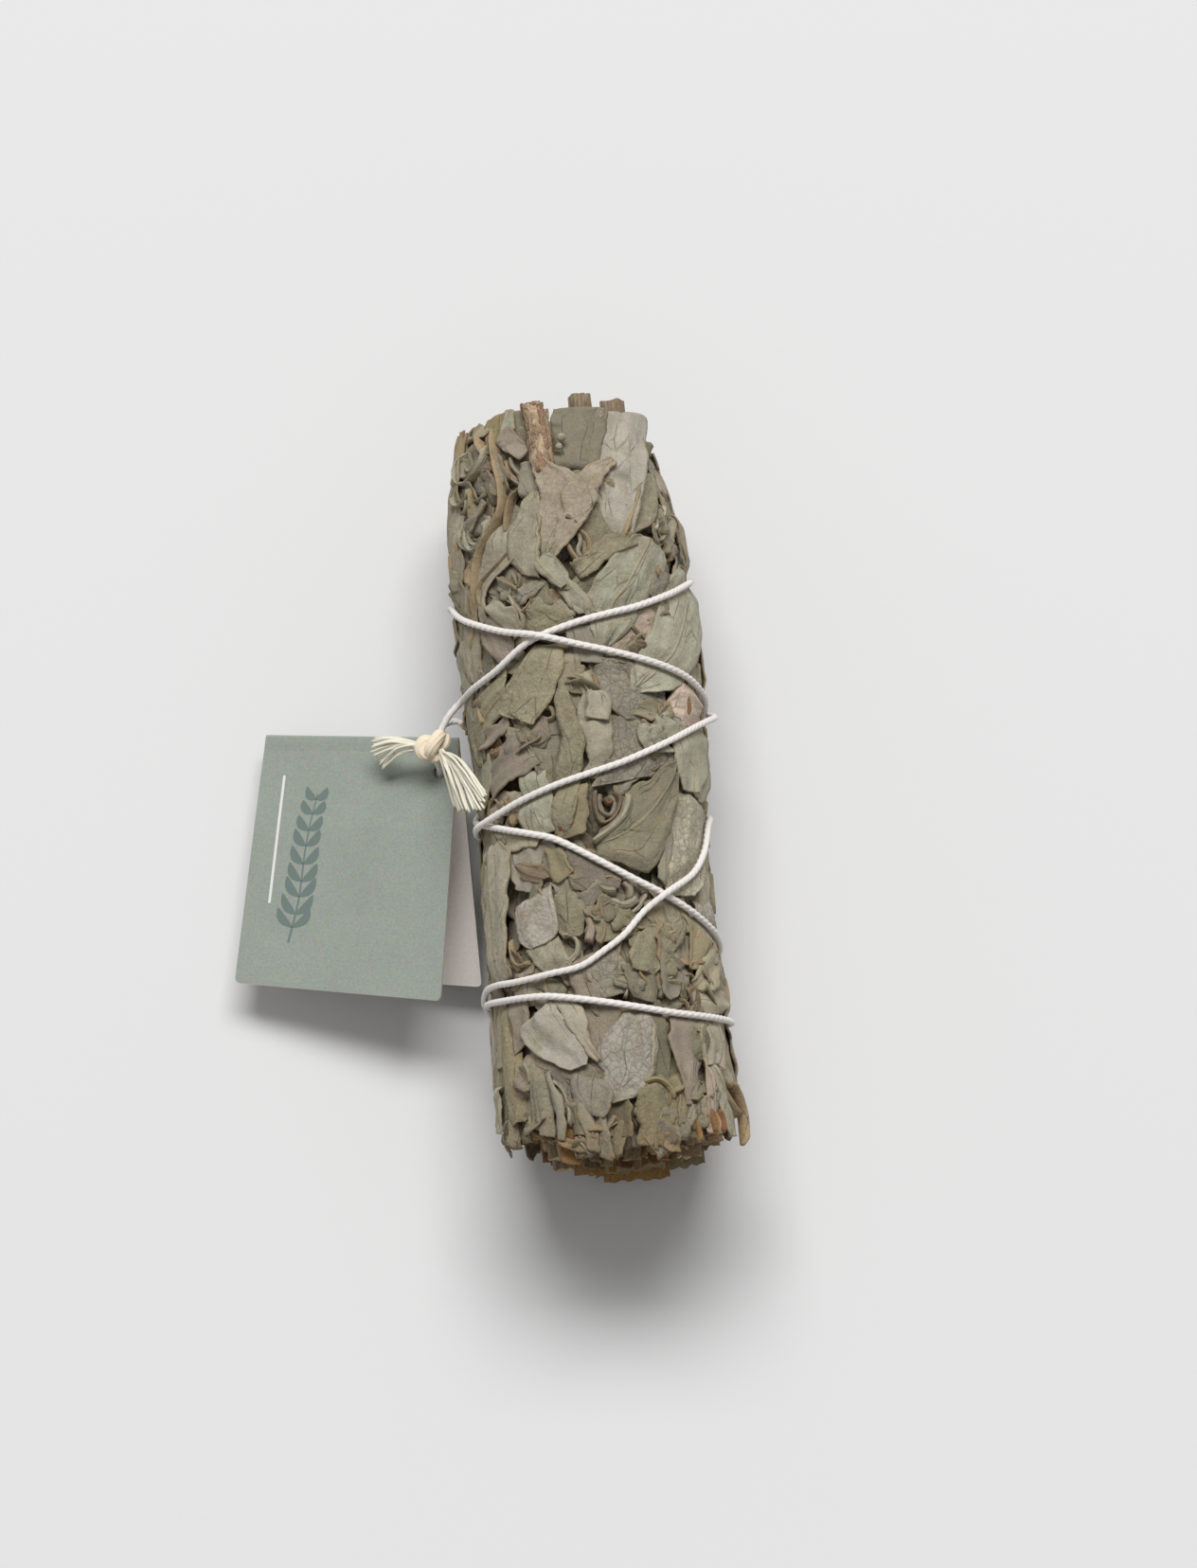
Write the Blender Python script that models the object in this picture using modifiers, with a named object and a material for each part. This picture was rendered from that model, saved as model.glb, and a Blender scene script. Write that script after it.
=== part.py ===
"""Sage smudge stick: seven dried sage sprigs wound into a bundle with cotton string, with a folded card tag.

The bundle lies along Y with its cut ends at -Y and +Y, on a small flat spot under its middle: the origin.
Places on it are told as (round, along): mm round it from its top line, to +X, and mm along its axis.
"""
import math
import random
from collections import namedtuple

import bmesh
import bpy
from mathutils import Matrix, Vector

MM = 0.001

# Driving dimensions, in mm
AXIS_HEIGHT = 15.5
ROUND_RADIUS = 16.4
RADIUS_ALONG = [(-52, 16.8), (-40, 16.4), (-30, 16.1), (-20, 15.7), (-8, 15.7), (2, 16.1), (12, 16.6),
                (20, 16.7), (28, 16.5), (34, 16.1), (40, 15.2), (47, 13.2), (54, 11.0)]
SHIFT_ALONG = [(-52, 0.3), (-40, 0.0), (-30, -0.4), (-20, -0.8), (-8, -0.7), (2, -0.3), (12, -0.8),
               (20, -1.2), (28, -1.6), (34, -1.9), (40, -2.4), (47, -2.7), (54, -2.8)]
CORE_ENDS = (-46.0, 43.5)
CORE_DEPTH = 0.9
SHARE_ENDS = (-54.0, 51.5)
SHARE_HEIGHT = 5.0
ROOT_DEPTH = 1.8
ROOT_SHARE = 0.22
SEAT_DEPTH = 1.5
FREE_SHARE = 0.9
HEART_RADIUS = 4.9
HEART_STATIONS = (-52, -46, -24, 2, 28, 43.5, 50)
CLEFT = 0.6
BLADE = 0.7
STRING_RADIUS = 0.48
STRING_HEIGHT = 0.75
STRING_LOW = 0.75
CLEARANCE = 0.3
GROOVE_CLEARANCE = 0.42
GROOVE_STRETCH = 12
GROOVE_MOUTH = 3.0
CARD = 0.6
BORE_OVERRUN = 6
BARK_OPENING = 4.0
STEM_STEP = 17
SMALL_LEAF = 20

# Where one sprig ends and the next begins: lines of (along, round), in order round the bundle
CLEFTS = [
    [(-56, -14), (-38, -14), (-25, -13.6), (-12, -13), (5, -10.5), (14, -12), (22, -12), (30, -13.5),
     (40, -9.5), (56, -10)],
    [(-56, 0), (-45, -1.8), (-34, -0.6), (-24, -2), (-17, -3.2), (-10, -0.8), (-3, 2.4), (12, 3), (18, 2.0),
     (26, -2.2), (32, -3.6), (38, -3.0), (46, 0.2), (56, 0.4)],
    [(-56, 19), (-35, 22), (-15, 20.5), (5, 22), (25, 20), (56, 21)],
    [(-56, 41), (-28, 39), (0, 41.5), (26, 39), (56, 41)],
    [(-56, 62), (-30, 64), (-4, 61), (24, 63.5), (56, 62)],
    [(-56, 76), (-26, 74), (2, 77), (30, 75), (56, 76)],
]
ROUND = 2 * math.pi * ROUND_RADIUS
SPRIG_NAMES = ["crown", "right", "right_low", "under", "left_low", "left"]

# Leaf outlines: (share of the length from the base, share of the half width)
CUTS = {
    "oblong": [(0, 0.45), (0.22, 0.88), (0.55, 1.0), (0.82, 0.8), (1, 0.3)],
    "pointed": [(0, 0.4), (0.3, 1.0), (0.6, 0.82), (0.85, 0.42), (1, 0.12)],
    "torn": [(0, 0.75), (0.2, 1.0), (0.5, 0.88), (0.8, 1.0), (1, 0.72)],
    "strip": [(0, 0.8), (0.5, 1.0), (1, 0.75)],
    "broad": [(0, 0.6), (0.15, 0.95), (0.5, 1.0), (0.85, 0.95), (1, 0.6)],
}

Leaf = namedtuple("Leaf", "base tip width lift tilt curl bow cut")

# The leaves seen from above, each from its base to its tip (round, along), with its width, the height of its
# middle over the bundle, how much higher its right edge stands, its curl across in degrees, its bow
SEEN_LEAVES = [
    # Far end, right of the barked stem
    Leaf((3.6, 40.4), (4.4, 47.8), 7.6, -0.4, 0.3, -20, 0, "broad"),
    Leaf((8.2, 28.6), (10.4, 47.6), 6.6, 0.3, 0.5, 25, 0.6, "oblong"),
    Leaf((14.5, 31.0), (15.5, 43.5), 5.5, 0.1, -0.4, 30, 0, "oblong"),
    Leaf((16.5, 24.0), (20.5, 37.0), 6.0, 0.2, 0.4, -20, 0, "torn"),
    Leaf((-1.6, 28.6), (2.2, 38.4), 6.4, 0.9, 0.6, 30, 0, "torn"),
    Leaf((0.8, 33.4), (8.2, 40.2), 3.6, 1.2, -0.6, 40, 0.8, "strip"),
    Leaf((-0.8, 37.4), (-2.0, 41.0), 3.0, 0.8, 0, -30, 0, "torn"),
    Leaf((5.2, 26.0), (5.2, 32.7), 5.2, 0.3, -0.5, -25, 0, "broad"),
    Leaf((0.6, 24.6), (2.3, 30.2), 1.8, 0.4, 0, 50, 0.5, "strip"),
    Leaf((2.4, 18.6), (14.0, 27.8), 8.2, 0.7, 0.5, -20, 0, "broad"),
    Leaf((-0.6, 24.2), (9.4, 29.2), 3.6, 0.5, -0.8, 20, -0.5, "oblong"),
    Leaf((11.8, 31.0), (14.2, 37.0), 3.4, 0.8, 0.5, 45, 0, "strip"),
    Leaf((12.5, 24.0), (17.0, 30.5), 3.6, 0.6, 0, 40, 0, "torn"),
    # Far end, left of the barked stem
    Leaf((-4.8, 41.3), (-7.8, 46.0), 3.6, 0.7, 0.4, 35, 0, "torn"),
    Leaf((-9.8, 43.6), (-9.2, 48.0), 4.2, -0.2, 0, -20, 0, "broad"),
    Leaf((-6.4, 44.2), (-6.0, 48.4), 3.2, 0.1, 0, 30, 0, "torn"),
    Leaf((-4.0, 34.8), (-3.3, 40.2), 3.0, 0.3, 0, -40, 0, "oblong"),
    Leaf((-7.2, 31.0), (-7.4, 38.0), 4.2, 0.1, 0.4, 25, 0, "torn"),
    Leaf((-5.5, 22.6), (-4.3, 36.0), 4.4, 0.8, 0.6, -25, 0, "pointed"),
    Leaf((-12.2, 23.4), (-7.0, 33.4), 6.2, 0.4, 0.5, -20, 0, "oblong"),
    Leaf((-12.9, 47.6), (-10.0, 35.6), 1.8, 1.0, 0, 30, 0.9, "strip"),
    Leaf((-9.9, 36.2), (-16.2, 25.6), 1.9, 1.0, 0, 30, -1.2, "strip"),
    Leaf((-8.0, 37.6), (-13.6, 26.4), 1.5, 0.9, 0, 30, -0.9, "strip"),
    Leaf((-18.6, 45.4), (-13.4, 41.0), 3.0, 0.4, 1.4, 60, -1.2, "strip"),
    Leaf((-15.4, 47.6), (-12.8, 42.6), 2.4, 0.5, -1.2, 50, 1.2, "strip"),
    Leaf((-20.4, 41.0), (-13.0, 38.4), 3.2, 0.3, 1.2, 50, -1.0, "strip"),
    Leaf((-17.8, 36.4), (-12.6, 33.0), 3.4, 0.4, 1.0, 50, -1.0, "strip"),
    Leaf((-19.0, 32.6), (-14.6, 30.2), 3.2, 0.3, -0.8, 40, -0.8, "torn"),
    Leaf((-21.0, 25.0), (-18.6, 39.0), 4.8, 0.2, 0.5, -20, 0, "oblong"),
    # Under the string's upper crossing
    Leaf((-17.0, 12.6), (-16.4, 25.4), 3.8, 0.5, -0.5, -30, 0.4, "oblong"),
    Leaf((-13.6, 19.6), (-11.0, 26.2), 2.2, 0.9, 0.8, 60, -1.5, "strip"),
    Leaf((-9.2, 14.2), (-13.6, 22.0), 4.2, 0.4, 0.4, 20, 0, "torn"),
    Leaf((-5.0, 14.6), (-5.4, 20.8), 5.2, 0.6, 0.3, -20, 0, "torn"),
    Leaf((-3.6, 15.0), (-9.8, 5.0), 7.0, 0.8, -0.5, -25, 0, "broad"),
    Leaf((-5.6, 26.8), (-1.4, 22.4), 3.4, 1.2, 0.6, 30, 0, "pointed"),
    Leaf((-5.4, 24.0), (0.0, 18.8), 2.4, 0.8, 0.3, 30, 0, "strip"),
    Leaf((-1.6, 22.4), (2.2, 17.6), 2.2, 1.0, 0, -30, 0, "strip"),
    Leaf((4.6, 13.2), (11.0, 18.8), 4.8, -0.2, 0.5, 30, 0, "torn"),
    Leaf((9.6, 10.6), (18.0, 22.6), 8.6, 0.7, 0.5, -20, 0, "oblong"),
    Leaf((6.4, 9.6), (14.6, 11.2), 4.2, 0.6, -0.4, 20, 0, "torn"),
    Leaf((1.4, 10.6), (10.8, 6.2), 6.6, 0.3, 0.4, -20, 0, "broad"),
    Leaf((12.0, 6.2), (19.6, 8.8), 5.6, 0.8, 0.4, -20, 0, "oblong"),
    Leaf((-2.7, 8.8), (-3.4, -11.0), 3.6, 1.3, -0.4, -30, 0.3, "oblong"),
    Leaf((-0.4, 14.2), (-1.4, 4.0), 2.4, 0.9, 0.5, 30, 0, "strip"),
    Leaf((0.4, 8.4), (1.6, 3.8), 3.2, 1.3, 0.6, 20, 0, "torn"),
    Leaf((0.8, 5.0), (0.9, -2.8), 3.8, 1.3, -0.4, -20, 0, "broad"),
    Leaf((-19.6, 6.8), (-11.6, 11.4), 5.2, 0.5, 0.5, -20, 0, "oblong"),
    Leaf((-24.0, 6.4), (-11.8, 5.6), 2.6, 0.4, 0.8, 30, 0.4, "strip"),
    Leaf((-9.2, 6.6), (-7.4, 3.4), 3.0, 0.6, 0, 30, 0, "torn"),
    Leaf((-6.0, 5.2), (-5.4, -1.0), 3.2, 0.2, 0, -20, 0, "torn"),
    # Middle
    Leaf((-18.0, -2.4), (-8.4, 2.4), 6.2, 0.7, 0.5, -20, 0, "pointed"),
    Leaf((-16.5, 2.8), (-9.8, 4.0), 2.8, 0.3, 0.6, 30, 0, "torn"),
    Leaf((2.8, -2.6), (11.0, 3.6), 6.2, 0.2, 0.3, -20, 0, "oblong"),
    Leaf((9.2, 2.2), (14.2, 4.8), 3.2, 0.8, 0, 20, 0, "torn"),
    Leaf((13.4, -3.4), (19.4, 4.2), 6.4, 0.8, 0.4, -20, 0, "oblong"),
    Leaf((-6.8, -2.2), (-7.4, -11.0), 5.2, 0.4, -0.5, -20, 0, "torn"),
    Leaf((0.6, -13.8), (11.2, -3.4), 8.2, 0.8, -0.5, 20, 0.6, "oblong"),
    Leaf((-0.6, -3.4), (1.0, -9.4), 2.4, 0.3, 0.8, 50, 0.6, "strip"),
    Leaf((11.0, -7.6), (9.0, -18.0), 2.0, 0.9, 0, 40, 0.3, "strip"),
    Leaf((11.6, -18.6), (15.6, -5.0), 8.0, 0.8, 0.4, -15, 0, "broad"),
    Leaf((-17.0, -28.0), (-17.2, -9.6), 7.0, 0.9, -0.3, -15, 0, "oblong"),
    Leaf((-17.2, -9.0), (-9.0, -9.4), 3.4, 0.7, -0.3, -15, 0, "torn"),
    Leaf((-7.4, -11.2), (-10.6, -17.2), 5.4, 0.2, 0.4, 20, 0, "torn"),
    Leaf((-6.6, -18.0), (-11.8, -24.6), 6.8, 0.6, 0.4, 15, 0, "broad"),
    Leaf((-4.5, -17.8), (-4.0, -24.0), 3.4, 0.7, 0.4, 40, 0, "torn"),
    Leaf((-5.9, -25.2), (-3.4, -26.6), 2.6, 0.9, 0, 70, 0.8, "strip"),
    Leaf((-10.6, -24.8), (-5.8, -27.8), 4.4, 0.4, 0, -20, 0, "torn"),
    Leaf((3.4, -17.4), (-3.8, -14.6), 3.2, 0.3, 0.4, 30, 0, "torn"),
    Leaf((-1.0, -20.0), (6.6, -20.8), 2.0, 0.0, 1.0, 50, 0.8, "strip"),
    Leaf((0.4, -23.8), (6.8, -18.2), 1.6, 0.2, -0.8, 50, -0.8, "strip"),
    Leaf((11.2, -21.6), (4.6, -28.2), 6.6, 0.7, 0.4, -20, 0, "broad"),
    Leaf((14.6, -19.8), (13.4, -29.0), 4.0, 0.7, -0.4, 25, 0, "torn"),
    Leaf((16.8, -11.0), (19.0, -23.0), 3.6, 0.5, 0.4, 30, 0, "oblong"),
    # Between the lower strings and the near end
    Leaf((13.6, -31.4), (19.6, -26.0), 5.6, 0.8, 0.4, -20, 0, "oblong"),
    Leaf((12.6, -33.6), (19.8, -31.4), 3.6, 0.9, -0.4, 20, 0, "torn"),
    Leaf((-1.6, -26.4), (-2.2, -33.0), 3.6, 0.3, 0.3, 25, 0, "torn"),
    Leaf((2.4, -27.0), (1.4, -33.0), 4.2, 0.3, -0.3, -20, 0, "torn"),
    Leaf((6.4, -28.4), (5.2, -34.4), 3.0, 0.5, 0.5, 50, 0, "strip"),
    Leaf((10.4, -26.6), (8.8, -32.6), 4.0, 0.3, 0.3, 35, 0, "torn"),
    Leaf((-16.6, -31.6), (-15.6, -46.8), 5.0, 0.9, -0.4, -30, 0.3, "oblong"),
    Leaf((-13.4, -31.0), (-15.0, -37.2), 3.4, 0.5, 0, 20, 0, "torn"),
    Leaf((-7.6, -32.6), (-9.0, -41.0), 8.2, 0.8, 0.5, -15, 0, "broad"),
    Leaf((-7.0, -32.4), (-3.6, -39.4), 1.8, 1.4, 0, 40, 0, "strip"),
    Leaf((-1.6, -33.2), (-2.2, -41.4), 4.4, 0.1, 0, -20, 0, "oblong"),
    Leaf((4.2, -34.0), (0.2, -46.0), 6.8, 0.8, -0.4, -20, 0, "oblong"),
    Leaf((10.2, -35.0), (9.6, -47.0), 5.8, 0.6, 0, -35, 0, "pointed"),
    Leaf((5.8, -35.0), (6.4, -44.2), 3.2, 0.0, 0, 20, 0, "strip"),
    Leaf((12.6, -40.0), (17.0, -35.8), 4.2, 0.5, 0.3, -20, 0, "torn"),
    Leaf((14.4, -50.4), (12.2, -40.6), 4.2, 0.7, 0.5, 35, 0, "pointed"),
    Leaf((18.2, -50.0), (14.8, -41.4), 3.6, 0.6, -0.5, 35, 0, "pointed"),
    Leaf((23.5, -46.0), (16.4, -42.4), 2.0, 0.8, 0, 30, -0.6, "strip"),
    Leaf((-3.6, -45.6), (-9.0, -41.0), 3.6, 0.5, 0.4, 20, 0, "torn"),
    Leaf((5.0, -44.0), (4.0, -50.8), 4.6, 0.8, 0, -70, 0, "strip"),
    Leaf((7.4, -42.6), (8.0, -49.0), 2.6, 0.7, 0.5, -60, 0, "strip"),
    Leaf((-10.4, -42.0), (-8.0, -49.6), 2.6, 0.7, 0.8, -60, 0, "strip"),
    Leaf((-12.6, -39.6), (-12.0, -49.0), 3.2, 0.6, 0, -50, 0, "strip"),
    Leaf((-4.4, -44.6), (-2.4, -50.9), 3.4, 0.7, 0, 45, 0, "torn"),
    Leaf((-0.8, -45.0), (-0.8, -50.4), 2.8, 0.3, 0, 40, 0, "torn"),
    Leaf((-19.5, -42.0), (-18.0, -49.6), 4.0, 0.1, 0, -30, 0, "torn"),
]

# Each sprig's woody stem: (round, distance from the bundle's axis, radius, from, to) along the bundle
STEMS = {
    "crown": (-6.4, 9.3, 1.6, -51.2, 46.5),
    "right": (6.6, 10.4, 1.6, -50.6, 50.6),
    "right_low": (30.0, 9.6, 1.7, -51.4, 46.8),
    "under": (51.5, 9.4, 1.7, -51.6, 46.4),
    "left_low": (69.0, 9.5, 1.5, -51.8, 47.0),
    "left": (83.5, 9.5, 1.5, -51.3, 47.4),
    "heart": (10.0, 0.6, 1.6, -50.9, 47.2),
}
SIDE_STEMS = {
    "barked": (-2.3, 13.1, 1.75, 39.6, 48.9),
    "shoot": (13.4, 11.9, 1.7, 34.0, 49.8),
}

# The cotton string's one way round the bundle, as (round, along, extra height), from the knot and back to it
OVER = 1.05
STRING_ROUTE = [
    (-23.5, 11.3, 0), (-17.5, 11.4, 0), (-12, 12.5, 0), (-8, 14.6, 0), (-5, 15.9, 0), (0, 17.3, 0),
    (8, 19.4, 0), (14, 21.8, 0), (20, 24.4, 0), (26, 26.4, 0), (38, 27.4, 0), (51.5, 27.6, 0),
    (65, 26.6, 0), (79, 24.2, 0), (83, 22, 0), (87, 20, 0), (93, 17.4, 0), (98, 15.8, OVER),
    (103, 14.2, 0), (111, 12.2, 0), (119, 10.7, 0), (127, 9, 0), (133, 7.9, 0), (140, 6.4, 0),
    (154.5, 4.4, 0), (168, 0.4, 0), (180, -4.8, 0), (187.7, -7.1, 0), (194, -9, 0), (201, -11.3, 0),
    (206, -14.3, 0), (211, -17.2, 0), (215, -19, 0), (220, -21, 0), (225, -22.6, 0), (237, -25, 0),
    (257.6, -27.2, 0), (271, -28.4, 0), (282, -29.7, 0), (293, -31, 0), (301, -31.7, 0), (309, -33.4, 0),
    (317, -34.9, 0), (325, -35.1, 0), (333, -34.6, 0), (345, -33.2, 0), (360.6, -31.6, 0),
    (378, -30.4, OVER), (388, -28.3, 0), (399, -29.0, 0), (405, -28.8, 0), (409, -28.3, 0),
    (412, -26.6, 0), (415, -24.5, 0), (418, -21.5, 0), (421.3, -19, OVER), (427, -16, 0), (431, -12.6, 0),
    (434.5, -8.4, 0), (443, -5.4, 0), (463.7, -5.2, 0), (480, -5.8, 0), (491, -6.8, 0),
    (496.9, -7.2, OVER), (503, -5.8, 0), (511, -3.9, 0), (519, -1.7, 0), (527, 1.8, 0), (533, 4.4, 0),
    (540, 7, OVER), (548, 9, 0), (566.7, 9.8, 0), (578, 9.6, 0), (588, 9.4, 0),
]
KNOT = Vector((-21.6, 5.7, 15.4))
HOLE = Vector((-20.7, 3.1, 11.2))
HOLE_RADIUS = 0.95
LEFT_TAIL_ENDS = [(-29.5, 8.2, 12.0), (-30.2, 7.3, 12.3), (-29.9, 6.2, 12.2), (-29.2, 5.0, 12.0),
                  (-28.4, 3.9, 11.8)]
RIGHT_TAIL_ENDS = [(-14.0, -3.6, 25.7), (-14.7, -5.0, 25.3), (-16.0, -5.8, 24.0), (-17.6, -5.2, 20.5),
                   (-18.7, -3.6, 17.2)]
THREAD_RADIUS = 0.34
TAIL_BOWS = [Vector((-0.3, 0.6, 0.9)), Vector((-0.3, 1.6, 0.9))]
KNOT_TURNS = [(0.2, 1.45), (1.3, 1.35), (-0.9, 1.3)]
KNOT_SHAPE = Vector((1.35, 0.9, 0.85))

# The tag's corners: the fold at its top edge, the front leaf above and the back leaf on the surface
FOLD_LEFT, FOLD_RIGHT = Vector((-44.3, 11.1, 4.6)), Vector((-17.9, 7.2, 12.0))
FRONT_LEFT, FRONT_RIGHT = Vector((-50.2, -22.7, 5.6)), Vector((-22.5, -28.3, 12.6))
BACK_LEFT, BACK_RIGHT = Vector((-48.4, -20.4, 0.4)), Vector((-17.0, -25.4, 4.6))
FOLD_OPENING = 1.3
CORNER_CUT = 0.6
TAG_ROWS = [0, 0.15, 0.3, 0.44, 0.47, 0.5, 0.53, 0.56, 0.7, 0.85, 1]
TAG_COLUMNS = 4

# The leaves on the sides and below are laid by a rule
HIDDEN_FROM, HIDDEN_TO = 25.5, 77.0
HIDDEN_START, HIDDEN_LENGTH = -44, 94
HIDDEN_STEP_ALONG = 12.0
HIDDEN_STEP_ROUND = 8.6
END_BLADES = 4
KEPT_TRIANGLES = 0.66
SEED = 41


def between(knots, at):
    """Value at a place on a line of (place, value) knots."""
    if at <= knots[0][0]:
        return knots[0][1]
    for (low, first), (high, last) in zip(knots, knots[1:]):
        if at <= high:
            return first + (last - first) * (at - low) / (high - low)
    return knots[-1][1]


def around_axis(round_at, along, reach):
    turn = round_at / ROUND_RADIUS
    return Vector((between(SHIFT_ALONG, along) + reach * math.sin(turn), along,
                   AXIS_HEIGHT + reach * math.cos(turn)))


def on_bundle(round_at, along, height=0.0):
    return around_axis(round_at, along, between(RADIUS_ALONG, along) + height)


def start_scene():
    for old in list(bpy.data.objects):
        bpy.data.objects.remove(old, do_unlink=True)
    collections = {}
    for name in ("sage_smudge_stick", "cutters", "repeats"):
        collection = bpy.data.collections.new(name)
        bpy.context.scene.collection.children.link(collection)
        collections[name] = collection
    return collections


def material(name, colour, roughness):
    made = bpy.data.materials.new(name)
    made.use_nodes = True
    shader = made.node_tree.nodes["Principled BSDF"]
    shader.inputs["Base Color"].default_value = (*colour, 1)
    shader.inputs["Roughness"].default_value = roughness
    shader.inputs["Metallic"].default_value = 0
    return made


def add_object(name, bm, collection, looks=None):
    """An object from a bmesh in mm."""
    bmesh.ops.scale(bm, vec=(MM, MM, MM), verts=bm.verts)
    bmesh.ops.recalc_face_normals(bm, faces=bm.faces)
    mesh = bpy.data.meshes.new(name)
    bm.to_mesh(mesh)
    bm.free()
    made = bpy.data.objects.new(name, mesh)
    collection.objects.link(made)
    if looks:
        mesh.materials.append(looks)
    if collection.name == "cutters":
        made.hide_render = True
        made.display_type = "WIRE"
    return made


def clear(collection):
    for old in list(collection.objects):
        bpy.data.objects.remove(old, do_unlink=True)


def apply_modifiers(target):
    graph = bpy.context.evaluated_depsgraph_get()
    graph.update()
    result = bpy.data.meshes.new_from_object(target.evaluated_get(graph))
    target.modifiers.clear()
    old = target.data
    target.data = result
    bpy.data.meshes.remove(old)
    result.name = target.name


def join_or_cut(target, operation, operand):
    """Apply one Boolean with an object or a collection; the MANIFOLD solver keeps up with many blades."""
    step = target.modifiers.new(operation.lower(), "BOOLEAN")
    step.operation = operation
    step.solver = "MANIFOLD"
    if isinstance(operand, bpy.types.Collection):
        step.operand_type = "COLLECTION"
        step.collection = operand
    else:
        step.object = operand
    apply_modifiers(target)


def keep_largest_body(target):
    """Drop the loose scraps of a union, and the shells of any hollow that it sealed."""
    bm = bmesh.new()
    bm.from_mesh(target.data)
    waiting = set(bm.verts)
    bodies = []
    while waiting:
        stack = [waiting.pop()]
        body = set(stack)
        while stack:
            for edge in stack.pop().link_edges:
                for corner in edge.verts:
                    if corner in waiting:
                        waiting.discard(corner)
                        body.add(corner)
                        stack.append(corner)
        bodies.append(body)
    bodies.sort(key=lambda body: max(v.co.y for v in body) - min(v.co.y for v in body), reverse=True)
    bmesh.ops.delete(bm, geom=[corner for body in bodies[1:] for corner in body], context="VERTS")
    straight = [v for v in bm.verts if len(v.link_edges) == 2 and v.calc_edge_angle() < math.radians(2)]
    bmesh.ops.dissolve_verts(bm, verts=straight)
    bmesh.ops.triangulate(bm, faces=bm.faces)
    bm.to_mesh(target.data)
    bm.free()


def thin_out(target, share):
    """Collapse the needless corners that the union left along straight edges, to a share of the triangles."""
    target.modifiers.new("thin out", "DECIMATE").ratio = share
    apply_modifiers(target)


def from_axis(point):
    return math.hypot(point.x - between(SHIFT_ALONG, point.y), point.z - AXIS_HEIGHT)


def loft(rings):
    """A closed bmesh through rings of equal count, with flat ends.

    Each side is split from its outer low corner to its inner high one, so the faces of a cleft run alike.
    """
    bm = bmesh.new()
    loops = [[bm.verts.new(point) for point in ring] for ring in rings]
    for low, high in zip(loops, loops[1:]):
        for index in range(len(low)):
            following = (index + 1) % len(low)
            a, b, c, d = low[index], low[following], high[following], high[index]
            if from_axis(a.co) > from_axis(b.co):
                bm.faces.new((a, b, c))
                bm.faces.new((a, c, d))
            else:
                bm.faces.new((a, b, d))
                bm.faces.new((b, c, d))
    bm.faces.new(loops[0])
    bm.faces.new(loops[-1])
    return bm


def cleft_round(index, along):
    lap = ROUND if index == len(CLEFTS) else 0
    return between(CLEFTS[index % len(CLEFTS)], along) + lap


def sprig_of(round_at, along):
    place = round_at if round_at >= cleft_round(0, along) else round_at + ROUND
    for index in range(len(CLEFTS)):
        if cleft_round(index, along) <= place < cleft_round(index + 1, along):
            return index
    return 0


def wedge(index, depth, ends, step, cleft):
    """A sprig's share of the bundle, to a depth under the surface, half a cleft clear of its neighbours."""
    outer_steps, inner_steps = 4, 2
    stations = max(2, round((ends[1] - ends[0]) / step))
    rings = []
    for station in range(stations + 1):
        along = ends[0] + (ends[1] - ends[0]) * station / stations
        outer = between(RADIUS_ALONG, along) - depth
        inner = HEART_RADIUS + cleft
        start, stop = (cleft_round(i, along) / ROUND_RADIUS for i in (index, index + 1))
        ring = []
        for radius, steps, way in ((outer, outer_steps, 1), (inner, inner_steps, -1)):
            slack = cleft / 2 / radius
            turns = [start + slack + (stop - start - 2 * slack) * k / steps for k in range(steps + 1)]
            ring += [around_axis(turn * ROUND_RADIUS, along, radius) for turn in turns[::way]]
        rings.append(ring)
    return loft(rings)


def tube(points, radius, sides, outward=None):
    """A closed tube through points; outward stretches the side that faces away from the bundle's axis."""
    rings = []
    for index, point in enumerate(points):
        before, after = points[max(index - 1, 0)], points[min(index + 1, len(points) - 1)]
        forward = (after - before).normalized()
        up = Vector((0, 0, 1)) if abs(forward.z) < 0.9 else Vector((1, 0, 0))
        if outward is not None:
            up = point - Vector((between(SHIFT_ALONG, point.y), point.y, AXIS_HEIGHT))
        up = (up - up.dot(forward) * forward).normalized()
        side = forward.cross(up)
        ring = []
        for corner in range(sides):
            turn = 2 * math.pi * (corner + 0.5) / sides
            lift = radius * math.cos(turn)
            if outward and lift > 0:
                lift += outward
            ring.append(point + up * lift + side * radius * math.sin(turn))
        rings.append(ring)
    return loft(rings)


def blade_place(leaf, u, v, phase):
    """A point of a leaf: u from its base to its tip, v from its left edge (-1) to its right edge (1)."""
    base, tip = Vector(leaf.base), Vector(leaf.tip)
    way = tip - base
    across = Vector((way.y, -way.x)).normalized()
    wander = 1 + 0.10 * math.sin(5.1 * u + phase) + 0.07 * math.sin(11.3 * u + 2.3 * phase + v)
    half = leaf.width / 2 * between(CUTS[leaf.cut], u) * wander
    arc = math.radians(leaf.curl) / 2
    reach = half * math.sin(arc * v) / arc
    rise = half * (1 - math.cos(arc * v)) / arc
    place = base + way * u + across * (reach + leaf.bow * 4 * u * (1 - u))
    height = leaf.lift + leaf.tilt * v / 2 + rise + 0.25 * math.sin(6.5 * u + phase) * abs(v)
    root = max(0.0, 1 - u / ROOT_SHARE)
    return place, height * (1 - root) - ROOT_DEPTH * root


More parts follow.
